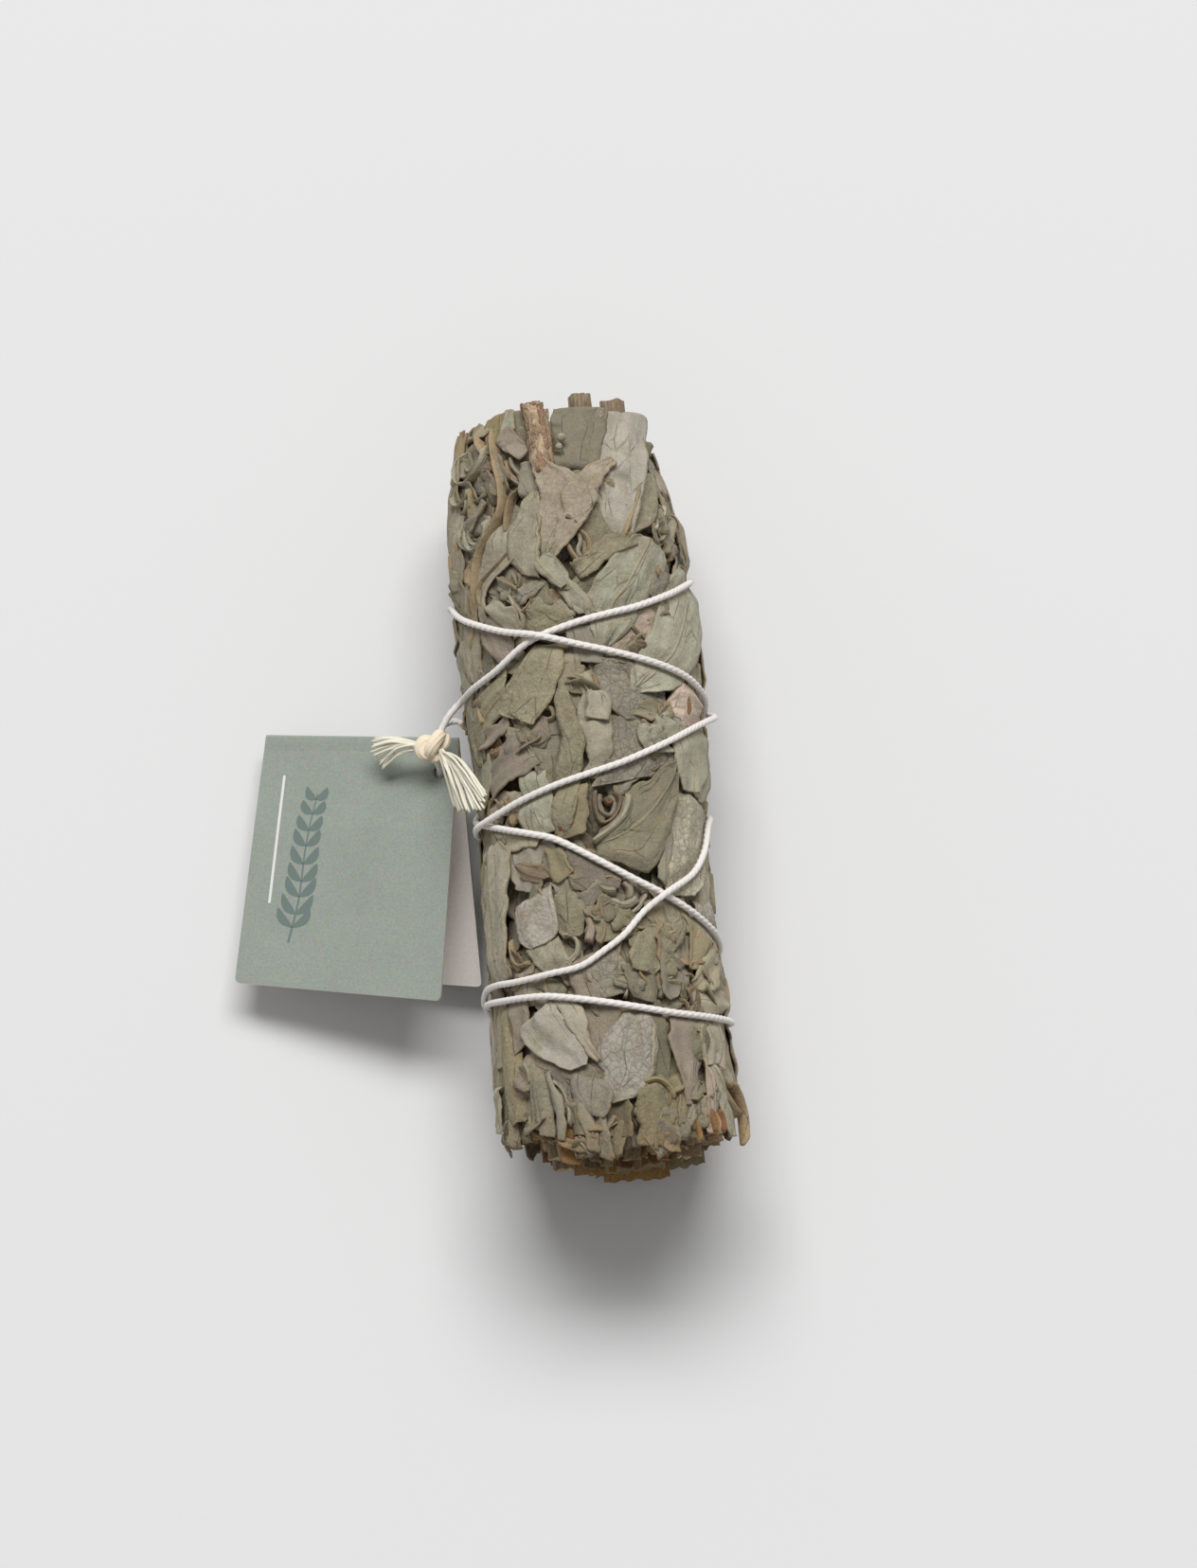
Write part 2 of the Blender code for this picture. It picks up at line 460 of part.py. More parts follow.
def blade(leaf, phase, depth=0.0):
    """One leaf as a thin closed solid, split into triangles alike on both faces."""
    length = (Vector(leaf.tip) - Vector(leaf.base)).length
    rows = 2 if length < 9 else 3
    columns = 1 if leaf.width < 5.5 else 2
    bm = bmesh.new()
    bmesh.ops.create_grid(bm, x_segments=columns, y_segments=rows, size=1)
    places = {}
    for corner in bm.verts:
        places[corner] = ((corner.co.y + 1) / 2, corner.co.x)
    bmesh.ops.triangulate(bm, faces=bm.faces)
    lower = bmesh.ops.duplicate(bm, geom=bm.verts[:] + bm.edges[:] + bm.faces[:])
    twins = {a: b for a, b in lower["vert_map"].items() if a in places}
    for face in [f for f in lower["geom"] if isinstance(f, bmesh.types.BMFace)]:
        face.normal_flip()
    rim = [edge for edge in bm.edges if edge.is_boundary and edge.verts[0] in places]
    for edge in rim:
        first, last = edge.verts
        bm.faces.new((first, last, twins[last], twins[first]))
    for corner, (u, v) in places.items():
        place, height = blade_place(leaf, u, v, phase)
        corner.co = on_bundle(place.x, place.y, height - depth)
        seated = SEAT_DEPTH if u < FREE_SHARE and CORE_ENDS[0] < place.y < CORE_ENDS[1] else 0
        twins[corner].co = on_bundle(place.x, place.y, height - depth - BLADE - seated)
    bmesh.ops.triangulate(bm, faces=bm.faces)
    return bm


def hidden_leaves(rng):
    """Leaves all over the sides and below, in rows along the bundle."""
    leaves = []
    rows = int((HIDDEN_TO - HIDDEN_FROM) / HIDDEN_STEP_ROUND)
    columns = int(HIDDEN_LENGTH / HIDDEN_STEP_ALONG)
    for row in range(rows + 1):
        for column in range(columns):
            round_at = HIDDEN_FROM + row * HIDDEN_STEP_ROUND + rng.uniform(-1.2, 1.2)
            along = HIDDEN_START + (column + row % 2 / 2) * HIDDEN_STEP_ALONG + rng.uniform(-1.5, 1.5)
            middle = Vector((round_at, along))
            heading = math.radians(rng.uniform(-38, 38) + rng.choice((0, 180)))
            length, width = rng.uniform(9, 14), rng.uniform(4.8, 7.4)
            way = Vector((math.sin(heading), math.cos(heading))) * length / 2
            leaves.append(Leaf(tuple(middle - way), tuple(middle + way), width, rng.uniform(0.0, 0.9),
                               rng.uniform(-0.8, 0.8), rng.choice((-30, -20, 20, 30)), rng.uniform(-0.6, 0.6),
                               rng.choice(("oblong", "torn", "broad", "pointed"))))
    return leaves


def end_leaves(index, rng):
    """Leaf ends that stand out of a sprig's two cut ends, as (leaf, depth under the surface)."""
    made = []
    for near in (True, False):
        for count in range(END_BLADES):
            along = CORE_ENDS[0] if near else CORE_ENDS[1]
            low, high = cleft_round(index, along) + 1.2, cleft_round(index + 1, along) - 1.2
            round_at = low + (high - low) * (count + rng.uniform(0.2, 0.8)) / END_BLADES
            reach = rng.uniform(2.2, 4.6) * (-1 if near else 0.75)
            base, tip = (round_at, along - 0.6 * reach), (round_at + rng.uniform(-1, 1), along + reach)
            width, tilt, curl = rng.uniform(3.0, 5.0), rng.uniform(-2, 2), rng.choice((-80, 80))
            made.append((Leaf(base, tip, width, 0, tilt, curl, 0, "torn"), rng.uniform(2.0, 8.0)))
    return made


def make_sprigs(collections, looks, leaves, cutters):
    rng = random.Random(SEED)
    phases = [rng.uniform(0, 6.28) for _ in leaves]
    for index, name in enumerate(SPRIG_NAMES):
        sprig = add_object("sage_sprig_" + name, wedge(index, CORE_DEPTH, CORE_ENDS, 8, CLEFT + 0.1),
                           collections["sage_smudge_stick"], looks["sage"])
        for leaf, phase in zip(leaves, phases):
            middle = (Vector(leaf.base) + Vector(leaf.tip)) / 2
            if sprig_of(middle.x, middle.y) == index:
                add_object("leaf", blade(leaf, phase), collections["repeats"])
        for leaf, depth in end_leaves(index, rng):
            add_object("leaf_end", blade(leaf, rng.uniform(0, 6.28), depth), collections["repeats"])
        join_or_cut(sprig, "UNION", collections["repeats"])
        clear(collections["repeats"])
        share = add_object("share", wedge(index, -SHARE_HEIGHT, SHARE_ENDS, 6, CLEFT), collections["repeats"])
        join_or_cut(sprig, "INTERSECT", share)
        clear(collections["repeats"])
        join_or_cut(sprig, "DIFFERENCE", cutters)
        keep_largest_body(sprig)
        thin_out(sprig, KEPT_TRIANGLES)


def make_heart(collections, looks, cutters):
    """The sprig in the middle, of which only the two cut ends show."""
    rng = random.Random(SEED + 1)
    axis = [on_bundle(0, along, -between(RADIUS_ALONG, along)) for along in HEART_STATIONS]
    core = tube(axis[1:-1], HEART_RADIUS, 8)
    heart = add_object("sage_sprig_heart", core, collections["sage_smudge_stick"], looks["sage"])
    for along, reach in ((CORE_ENDS[0], -1), (CORE_ENDS[1], 0.8)):
        for count in range(6):
            round_at = ROUND * (count + rng.uniform(0.2, 0.8)) / 6
            leaf = Leaf((round_at, along - 2 * reach), (round_at, along + rng.uniform(2.0, 4.4) * reach),
                        rng.uniform(9, 12), 0, 0, rng.choice((60, 80)), 0, "torn")
            depth = between(RADIUS_ALONG, along) - rng.uniform(2.6, 3.6)
            add_object("leaf_end", blade(leaf, rng.uniform(0, 6.28), depth), collections["repeats"])
    join_or_cut(heart, "UNION", collections["repeats"])
    clear(collections["repeats"])
    share = add_object("share", tube(axis, HEART_RADIUS, 8), collections["repeats"])
    join_or_cut(heart, "INTERSECT", share)
    clear(collections["repeats"])
    join_or_cut(heart, "DIFFERENCE", cutters)
    keep_largest_body(heart)


def make_stems(collections, looks):
    for name, (round_at, reach, radius, start, stop) in {**STEMS, **SIDE_STEMS}.items():
        count = max(2, round((stop - start) / STEM_STEP))
        stem = [around_axis(round_at, start + (stop - start) * k / count, reach) for k in range(count + 1)]
        add_object("stem_" + name, tube(stem, radius, 9), collections["sage_smudge_stick"], looks["bark"])
        before = 1 if name in SIDE_STEMS else BORE_OVERRUN
        bore = [around_axis(round_at, start - before, reach)] + stem
        bore.append(around_axis(round_at, stop + BORE_OVERRUN, reach))
        outward = BARK_OPENING if name == "barked" else 0.0
        add_object("bore_" + name, tube(bore, radius + CLEARANCE, 9, outward), collections["cutters"])


def smooth_route(route, step):
    """Points a step apart on a Catmull-Rom curve through the route."""
    knots = [Vector(point) for point in route]
    knots = [2 * knots[0] - knots[1]] + knots + [2 * knots[-1] - knots[-2]]
    points = []
    for before, start, stop, after in zip(knots, knots[1:], knots[2:], knots[3:]):
        pieces = max(1, round((stop - start).length / step))
        for k in range(pieces):
            t = k / pieces
            bend = 2 * before - 5 * start + 4 * stop - after
            points.append(start + 0.5 * ((stop - before) * t + bend * t ** 2
                                         + (3 * start - before - 3 * stop + after) * t ** 3))
    points.append(knots[-2])
    return points


def wound_string():
    """The string's centre line on the bundle, flattened where the bundle rests on it."""
    points = []
    for place in smooth_route(STRING_ROUTE, 4.6):
        point = on_bundle(place.x, place.y, STRING_HEIGHT + place.z)
        point.z = max(point.z, STRING_LOW)
        points.append(point)
    return points


def string_line():
    from_knot = [KNOT + Vector((0.3, 0.5, 0.3)), Vector((-20.2, 7.8, 16.0)), Vector((-18.8, 9.8, 16.8))]
    wound = wound_string()
    under_fold = [Vector((-18.4, 10.6, 9.4)), Vector((-19.9, 10.4, 8.2)), Vector((-20.8, 7.4, 7.4)),
                  Vector((-20.9, 4.6, 7.2))]
    through_hole = [HOLE + Vector((0, 0.1, -2.9)), HOLE, HOLE + Vector((0, 0.3, 1.7)),
                    KNOT + Vector((0.4, -0.9, -0.2))]
    start = smooth_route(from_knot + wound[:1], 2.2)[:-1]
    end = smooth_route(wound[-1:] + under_fold + through_hole, 1.4)[1:]
    return start + wound + end


def make_string(collections, looks):
    line = string_line()
    string = add_object("cotton_string", tube(line, STRING_RADIUS, 6), collections["sage_smudge_stick"],
                        looks["cotton"])
    for turn, size in KNOT_TURNS:
        bm = bmesh.new()
        bmesh.ops.create_uvsphere(bm, u_segments=8, v_segments=5, radius=size)
        bmesh.ops.scale(bm, vec=KNOT_SHAPE, verts=bm.verts)
        tilted = Vector((0, 0, 1)).rotation_difference(Vector((0.2, turn * 0.3, 1))).to_matrix()
        bmesh.ops.rotate(bm, matrix=Matrix.Rotation(turn, 3, "Z") @ tilted, verts=bm.verts)
        bmesh.ops.translate(bm, vec=KNOT, verts=bm.verts)
        add_object("turn", bm, collections["repeats"])
    for ends, bow in zip((LEFT_TAIL_ENDS, RIGHT_TAIL_ENDS), TAIL_BOWS):
        for end in ends:
            way = smooth_route([KNOT, (KNOT + Vector(end)) / 2 + bow, Vector(end)], 3.2)
            add_object("thread", tube(way, THREAD_RADIUS, 4), collections["repeats"])
    join_or_cut(string, "UNION", collections["repeats"])
    clear(collections["repeats"])
    keep_largest_body(string)


def string_channels(collections):
    """The grooves that the string has pressed into the leaves, one for each short stretch."""
    line = string_line()
    for start in range(0, len(line) - 2, GROOVE_STRETCH):
        piece = line[start:start + GROOVE_STRETCH + 2]
        groove = tube(piece, STRING_RADIUS + GROOVE_CLEARANCE, 6, GROOVE_MOUTH)
        add_object("channel", groove, collections["cutters"])


def tag_profile(u, v):
    """A point of the tag's middle sheet: u from its left, v from the front leaf's bottom over the fold."""
    fold = FOLD_LEFT.lerp(FOLD_RIGHT, u)
    down = Vector((0, 0, FOLD_OPENING))
    front, back = FRONT_LEFT.lerp(FRONT_RIGHT, u), BACK_LEFT.lerp(BACK_RIGHT, u)
    ways = [(0, front), (0.15, front.lerp(fold, 0.3)), (0.3, front.lerp(fold, 0.65) + Vector((0, 0, 0.25))),
            (0.44, front.lerp(fold, 0.95)), (0.47, fold + down * 0.12),
            (0.5, fold - down * 0.5 + Vector((0, 0.35, 0))),
            (0.53, fold - down * 1.1), (0.56, back.lerp(fold - down, 0.95)),
            (0.7, back.lerp(fold - down, 0.62)), (0.85, back.lerp(fold - down, 0.3)), (1, back)]
    return between(ways, v)


def make_tag(collections, looks):
    """A folded card: one sheet over the fold, given its thickness, with blunt corners and a punched hole."""
    bm = bmesh.new()
    bmesh.ops.create_grid(bm, x_segments=TAG_COLUMNS, y_segments=len(TAG_ROWS) - 1, size=1)
    for corner in bm.verts:
        row = round((corner.co.y + 1) / 2 * (len(TAG_ROWS) - 1))
        corner.co = tag_profile((corner.co.x + 1) / 2, TAG_ROWS[row])
    corners = [corner for corner in bm.verts if len(corner.link_edges) == 2]
    bmesh.ops.bevel(bm, geom=corners, offset=CORNER_CUT, segments=1, affect="VERTICES")
    bmesh.ops.triangulate(bm, faces=bm.faces)
    tag = add_object("tag_card", bm, collections["sage_smudge_stick"], looks["card"])
    thick = tag.modifiers.new("card thickness", "SOLIDIFY")
    thick.thickness = CARD * MM
    thick.offset = 0
    hole = bmesh.new()
    bmesh.ops.create_cone(hole, cap_ends=True, segments=12, radius1=HOLE_RADIUS, radius2=HOLE_RADIUS, depth=9)
    bmesh.ops.translate(hole, vec=HOLE, verts=hole.verts)
    punch = add_object("tag_hole", hole, collections["cutters"])
    apply_modifiers(tag)
    join_or_cut(tag, "DIFFERENCE", punch)


def main():
    collections = start_scene()
    looks = {
        "sage": material("dried sage leaf", (0.27, 0.26, 0.20), 0.9),
        "bark": material("sage stem bark", (0.33, 0.19, 0.10), 0.85),
        "cotton": material("cotton string", (0.78, 0.74, 0.66), 0.9),
        "card": material("sage green card", (0.30, 0.37, 0.32), 0.7),
    }
    seen = [leaf for leaf in SEEN_LEAVES if leaf.width * math.dist(leaf.base, leaf.tip) > SMALL_LEAF]
    leaves = seen + hidden_leaves(random.Random(SEED + 2))
    make_stems(collections, looks)
    string_channels(collections)
    slab = bmesh.new()
    bmesh.ops.create_cube(slab, size=1)
    bmesh.ops.scale(slab, vec=(80, 140, 20), verts=slab.verts)
    bmesh.ops.translate(slab, vec=(0, 0, -10), verts=slab.verts)
    add_object("ground", slab, collections["cutters"])
    make_sprigs(collections, looks, leaves, collections["cutters"])
    make_heart(collections, looks, collections["cutters"])
    make_string(collections, looks)
    make_tag(collections, looks)
    total = 0
    for made in collections["sage_smudge_stick"].objects:
        made.data.calc_loop_triangles()
        count = len(made.data.loop_triangles)
        total += count
        print(made.name, count, "triangles")
    print("total", total, "triangles, leaves", len(leaves))


main()
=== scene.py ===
# %% [markdown]
# Sage smudge stick: the looks
#
# A smudge stick is a handful of dried sage, pressed together and wound with cotton string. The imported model
# gives its solids: seven sprigs, their woody stems, the string and a folded card tag. This script keeps those
# forms and puts finer pieces in their place: single leaves with torn edges, veins and felt, twisted string,
# and card. Sizes here are in mm, as a maker would say them, and each finished mesh is scaled to metres once.

import math
import random

import bmesh
import bpy
from mathutils import Matrix, Vector, kdtree, noise


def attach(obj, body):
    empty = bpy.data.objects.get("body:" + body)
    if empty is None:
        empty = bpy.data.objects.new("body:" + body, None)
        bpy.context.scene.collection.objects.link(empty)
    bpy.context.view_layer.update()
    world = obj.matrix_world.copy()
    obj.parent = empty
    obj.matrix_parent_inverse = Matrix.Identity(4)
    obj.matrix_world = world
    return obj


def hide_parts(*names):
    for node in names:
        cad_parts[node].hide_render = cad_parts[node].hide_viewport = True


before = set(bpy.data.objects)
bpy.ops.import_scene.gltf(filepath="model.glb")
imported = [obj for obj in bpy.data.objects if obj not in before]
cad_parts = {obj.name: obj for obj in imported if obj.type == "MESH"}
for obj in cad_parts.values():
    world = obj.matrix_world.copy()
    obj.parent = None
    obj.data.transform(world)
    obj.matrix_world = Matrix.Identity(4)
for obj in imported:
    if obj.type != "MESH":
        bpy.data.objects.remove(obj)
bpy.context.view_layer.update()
MM = 0.001

# %% [markdown]
# The photograph looks almost straight down from a fair distance, so the bundle keeps nearly the same width
# from end to end. The camera could be placed by hand. Here it is worked out from the angle, the distance and
# the size of one pixel on the object, so that each can be corrected alone.

# %% Camera at the photograph's angle
IMAGE_HEIGHT, SENSOR = 1656, 36
CAMERA_TURN, CAMERA_TILT = math.radians(-3.9), math.radians(77.5)
CAMERA_DISTANCE = 600 * MM
PIXEL_SIZE = 0.127 * MM
LOOKED_AT = Vector((0, 0, 15.5 * MM))
NUDGE_RIGHT, NUDGE_UP = 0.51 * MM, -0.76 * MM

back = Vector((math.sin(CAMERA_TURN) * math.cos(CAMERA_TILT), -math.cos(CAMERA_TURN) * math.cos(CAMERA_TILT),
               math.sin(CAMERA_TILT)))
right = Vector((0, 0, 1)).cross(back).normalized()
up = back.cross(right)
lens = bpy.data.cameras.new("camera")
lens.sensor_fit = "VERTICAL"
lens.sensor_height = SENSOR
lens.lens = SENSOR * CAMERA_DISTANCE / (PIXEL_SIZE * IMAGE_HEIGHT)
lens.clip_start, lens.clip_end = 0.01, 10
camera = bpy.data.objects.new("camera", lens)
stand = LOOKED_AT + back * CAMERA_DISTANCE + right * NUDGE_RIGHT + up * NUDGE_UP
camera.matrix_world = Matrix.Translation(stand) @ Matrix((right, up, back)).transposed().to_4x4()
bpy.context.scene.collection.objects.link(camera)
bpy.context.scene.camera = camera
print("lens", round(lens.lens, 1), "mm")

# %% [markdown]
# Colours are told as sRGB hex values, the way any colour picker shows them. Shaders work in linear light, so
# one function turns them. Everything on this object is matt and none of it is metal, so a new material starts
# there.


# %% Colours and new materials
def linear(colour):
    """An sRGB hex colour as linear values."""
    parts = [int(colour[i:i + 2], 16) / 255 for i in (1, 3, 5)]
    return tuple(c / 12.92 if c <= 0.04045 else ((c + 0.055) / 1.055) ** 2.4 for c in parts)


def new_material(name, roughness):
    """A matt material that isn't metal, with its node tree and its shader."""
    made = bpy.data.materials.new(name)
    made.use_nodes = True
    shader = made.node_tree.nodes["Principled BSDF"]
    shader.inputs["Roughness"].default_value = roughness
    shader.inputs["Metallic"].default_value = 0
    return made, made.node_tree, shader


print("middle grey is", round(linear("#808080")[0], 3), "in linear light")

# %% [markdown]
# A node is added, set and linked in several lines each time. Functions for each kind of node would shorten
# that and hide what is there. One helper does it for all kinds: it is given the kind, the inputs and the
# node's own settings, and it gives back an output to pass on. The plainest finish of all is made with it.


# %% One helper for nodes
def add_node(tree, kind, inputs=(), out=None, **settings):
    """Add a node and give back one of its outputs, by its name or else the first.

    Its inputs are values, hex colours or other outputs, in the order of its sockets or by their names.
    """
    node = tree.nodes.new("ShaderNode" + kind)
    for name, value in settings.items():
        setattr(node, name, value)
    if not isinstance(inputs, dict):
        inputs = dict(zip([index for index, socket in enumerate(node.inputs) if socket.enabled], inputs))
    for place, value in inputs.items():
        if isinstance(value, bpy.types.NodeSocket):
            tree.links.new(value, node.inputs[place])
        elif isinstance(value, str):
            node.inputs[place].default_value = (*linear(value), 1)
        else:
            node.inputs[place].default_value = value
    return node.outputs[out] if out else next(socket for socket in node.outputs if socket.enabled)


def two_toned(name, roughness, size, detail, low, high, dark, pale, depth):
    """A matt material of two tones, in patches of a size in mm that are also its relief."""
    made, tree, shader = new_material(name, roughness)
    here = add_node(tree, "TexCoord", out="Object")
    patches = add_node(tree, "TexNoise", [here, 1 / (size * MM), detail])
    share = add_node(tree, "MapRange", [patches, low, high, 0.0, 1.0])
    tone = add_node(tree, "Mix", [share, dark, pale], data_type="RGBA")
    tree.links.new(tone, shader.inputs["Base Color"])
    relief = add_node(tree, "Bump", {"Height": patches, "Distance": depth * MM})
    tree.links.new(relief, shader.inputs["Normal"])
    return made


print("one helper adds every node")

# %% [markdown]
# The photograph has one broad soft shadow, which falls towards the viewer and narrows as it goes. Several
# lamps would blur that, so one wide lamp stands behind the far end, and a pale sky fills in the rest.

# %% Sky and one wide lamp
bpy.context.scene.view_settings.view_transform = "Standard"
SKY_STRENGTH = 0.32
LIGHT_POWER = 258
LIGHT_WIDTH, LIGHT_DEPTH = 4.0, 1.7
LIGHT_DISTANCE, LIGHT_TILT, LIGHT_TURN = 5.0, math.radians(56), math.radians(3)

sky = bpy.data.worlds.new("pale sky")
sky.use_nodes = True
sky.node_tree.nodes["Background"].inputs["Color"].default_value = (1, 1, 1, 1)
sky.node_tree.nodes["Background"].inputs["Strength"].default_value = SKY_STRENGTH
bpy.context.scene.world = sky

soft = bpy.data.lights.new("wide soft light", "AREA")
soft.shape = "RECTANGLE"
soft.size, soft.size_y = LIGHT_WIDTH, LIGHT_DEPTH
soft.energy = LIGHT_POWER
lamp = bpy.data.objects.new("wide_soft_light", soft)
towards = Vector((math.sin(LIGHT_TURN) * math.cos(LIGHT_TILT), math.cos(LIGHT_TURN) * math.cos(LIGHT_TILT),
                  math.sin(LIGHT_TILT)))
stand = LOOKED_AT + towards * LIGHT_DISTANCE
lamp.matrix_world = Matrix.Translation(stand) @ towards.to_track_quat("Z", "Y").to_matrix().to_4x4()
bpy.context.scene.collection.objects.link(lamp)
print("lamp of", soft.energy, "watts at", LIGHT_DISTANCE, "m")

# %% [markdown]
# The object lies on pale grey paper without a mark on it. A single large grid face is enough for that, and
# its grey is chosen so that it comes out as light as in the photograph.

# %% Floor
paper, tree, shader = new_material("pale grey backdrop paper", 0.9)
shader.inputs["Specular IOR Level"].default_value = 0.2
shader.inputs["Base Color"].default_value = (*linear("#dedede"), 1)
bm = bmesh.new()
bmesh.ops.create_grid(bm, x_segments=1, y_segments=1, size=2.5)
mesh = bpy.data.meshes.new("floor")
bm.to_mesh(mesh)
bm.free()
mesh.materials.append(paper)
floor = bpy.data.objects.new("floor", mesh)
bpy.context.scene.collection.objects.link(floor)
print("floor", floor.dimensions.x, "m wide")

# %% [markdown]
# A place is told as (round, along): mm round the bundle from its top line towards the right, and mm along its
# axis from the middle. The bundle is a little waisted and leans, so its radius and its middle line change
# along it. With these two numbers a leaf can be laid on the round bundle as if on a flat table.

# %% Form of the bundle, as in the solids
AXIS_HEIGHT = 15.5
ROUND_RADIUS = 16.4
ROUND = 2 * math.pi * ROUND_RADIUS
FLANK_PRESS = 0.055
RADIUS_ALONG = [(-52, 16.8), (-40, 16.4), (-30, 16.1), (-20, 15.7), (-8, 15.7), (2, 16.1), (12, 16.6),
                (20, 16.7), (28, 16.5), (34, 16.1), (40, 15.2), (47, 13.2), (54, 11.0)]
SHIFT_ALONG = [(-52, 0.3), (-40, 0.0), (-30, -0.4), (-20, -0.8), (-8, -0.7), (2, -0.3), (12, -0.8),
               (20, -1.2), (28, -1.6), (34, -1.9), (40, -2.4), (47, -2.7), (54, -2.8)]


def between(knots, at):
    """The value at a place on a line of straight stretches between knots."""
    if at <= knots[0][0]:
        return knots[0][1]
    for (low, first), (high, last) in zip(knots, knots[1:]):
        if at <= high:
            return first + (last - first) * (at - low) / (high - low)
    return knots[-1][1]


def around_axis(round_at, along, reach):
    """A point by its way round, its place along and its distance from the axis. Its flanks are pressed in."""
    turn = round_at / ROUND_RADIUS
    out = math.sin(turn)
    return Vector((between(SHIFT_ALONG, along) + reach * out * (1 - FLANK_PRESS * out * out), along,
                   AXIS_HEIGHT + reach * math.cos(turn)))


def on_bundle(round_at, along, height):
    """A point by its place on the bundle and its height over the surface."""
    return around_axis(round_at, along, between(RADIUS_ALONG, along) + height)


print("bundle", round(2 * between(RADIUS_ALONG, 0), 1), "mm across its middle")

# %% [markdown]
# String, folds and the printed stroke all follow a curve through a few points. A curve object could do it. A
# Catmull-Rom curve in a few lines passes through every given point and gives points that the meshes can use.


# %% Smooth routes
def smooth_route(route, step):
    """Points a step apart on a Catmull-Rom curve through the route."""
    knots = [Vector(point) for point in route]
    knots = [2 * knots[0] - knots[1]] + knots + [2 * knots[-1] - knots[-2]]
    points = []
    for before, start, stop, after in zip(knots, knots[1:], knots[2:], knots[3:]):
        pieces = max(1, round((stop - start).length / step))
        for k in range(pieces):
            t = k / pieces
            bend = 2 * before - 5 * start + 4 * stop - after
            points.append(start + 0.5 * ((stop - before) * t + bend * t ** 2
                                         + (3 * start - before - 3 * stop + after) * t ** 3))
    points.append(knots[-2])
    return points


print("a route over 10 mm has", len(smooth_route([(0, 0, 0), (10, 0, 0)], 0.5)), "points")

# %% [markdown]
# Each piece is made in mm in a bmesh of its own. One function scales it to metres, gives it its materials and
# its thickness, lets it ride on the body and puts it in the place of its solid.


# %% Finishing a piece
def finish_piece(name, bm, looks, nodes=(), thickness=0.0, smooth=True):
    """A bmesh in mm becomes a piece on the body: scaled to metres, dressed, and in its solid's place."""
    bmesh.ops.scale(bm, vec=(MM, MM, MM), verts=bm.verts)
    mesh = bpy.data.meshes.new(name)
    bm.to_mesh(mesh)
    bm.free()
    for look in looks:
        mesh.materials.append(look)
    for face in mesh.polygons:
        face.use_smooth = smooth
    piece = bpy.data.objects.new(name, mesh)
    bpy.context.scene.collection.objects.link(piece)
    if thickness:
        sheet = piece.modifiers.new("leaf thickness", "SOLIDIFY")
        sheet.thickness = thickness * MM
        sheet.offset = -1
    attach(piece, "root")
    if nodes:
        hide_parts(*nodes)
    print(name, len(mesh.polygons), "faces")


print("pieces are made in mm and scaled by", MM)

# %% [markdown]
# The string is one strand, wound round and back, of three thin cotton plies twisted together. It takes the
# way that its solid takes, so the plies lie in the grooves pressed into the leaves. Its route comes before
# the leaves, because they need to know where it presses on them.

# %% The string's way round the bundle
STRING_HEIGHT, STRING_LOW = 0.75, 0.75
OVER = 1.05
STRING_ROUTE = [
    (-23.5, 11.3, 0), (-17.5, 11.4, 0), (-12, 12.5, 0), (-8, 14.6, 0), (-5, 15.9, 0), (0, 17.3, 0),
    (8, 19.4, 0), (14, 21.8, 0), (20, 24.4, 0), (26, 26.4, 0), (38, 27.4, 0), (51.5, 27.6, 0),
    (65, 26.6, 0), (79, 24.2, 0), (83, 22, 0), (87, 20, 0), (93, 17.4, 0), (98, 15.8, OVER),
    (103, 14.2, 0), (111, 12.2, 0), (119, 10.7, 0), (127, 9, 0), (133, 7.9, 0), (140, 6.4, 0),
    (154.5, 4.4, 0), (168, 0.4, 0), (180, -4.8, 0), (187.7, -7.1, 0), (194, -9, 0), (201, -11.3, 0),
    (206, -14.3, 0), (211, -17.2, 0), (215, -19, 0), (220, -21, 0), (225, -22.6, 0), (237, -25, 0),
    (257.6, -27.2, 0), (271, -28.4, 0), (282, -29.7, 0), (293, -31, 0), (301, -31.7, 0), (309, -33.4, 0),
    (317, -34.9, 0), (325, -35.1, 0), (333, -34.6, 0), (345, -33.2, 0), (360.6, -31.6, 0),
    (378, -30.4, OVER), (388, -28.3, 0), (399, -29.0, 0), (405, -28.8, 0), (409, -28.3, 0),
    (412, -26.6, 0), (415, -24.5, 0), (418, -21.5, 0), (421.3, -19, OVER), (427, -16, 0), (431, -12.6, 0),
    (434.5, -8.4, 0), (443, -5.4, 0), (463.7, -5.2, 0), (480, -5.8, 0), (491, -6.8, 0),
    (496.9, -7.2, OVER), (503, -5.8, 0), (511, -3.9, 0), (519, -1.7, 0), (527, 1.8, 0), (533, 4.4, 0),
    (540, 7, OVER), (548, 9, 0), (566.7, 9.8, 0), (578, 9.6, 0), (588, 9.4, 0),
]
KNOT = Vector((-21.6, 5.7, 15.4))
HOLE = Vector((-20.7, 3.1, 11.2))
HOLE_RADIUS = 0.95

wound = []
for place in smooth_route(STRING_ROUTE, 4.6):
    point = on_bundle(place.x, place.y, STRING_HEIGHT + place.z)
    point.z = max(point.z, STRING_LOW)
    wound.append(point)
from_knot = [KNOT + Vector((0.3, 0.5, 0.3)), Vector((-20.2, 7.8, 16.0)), Vector((-18.8, 9.8, 16.8))]
under_fold = [Vector((-18.4, 10.6, 9.4)), Vector((-19.9, 10.4, 8.2)), Vector((-20.8, 7.4, 7.4)),
              Vector((-20.9, 4.6, 7.2))]
through_hole = [HOLE + Vector((0, 0.1, -2.9)), HOLE, HOLE + Vector((0, 0.3, 1.7)),
                KNOT + Vector((0.4, -0.9, -0.2))]
string_line = smooth_route(from_knot + wound[:1], 2.2)[:-1] + wound \
    + smooth_route(wound[-1:] + under_fold + through_hole, 1.4)[1:]
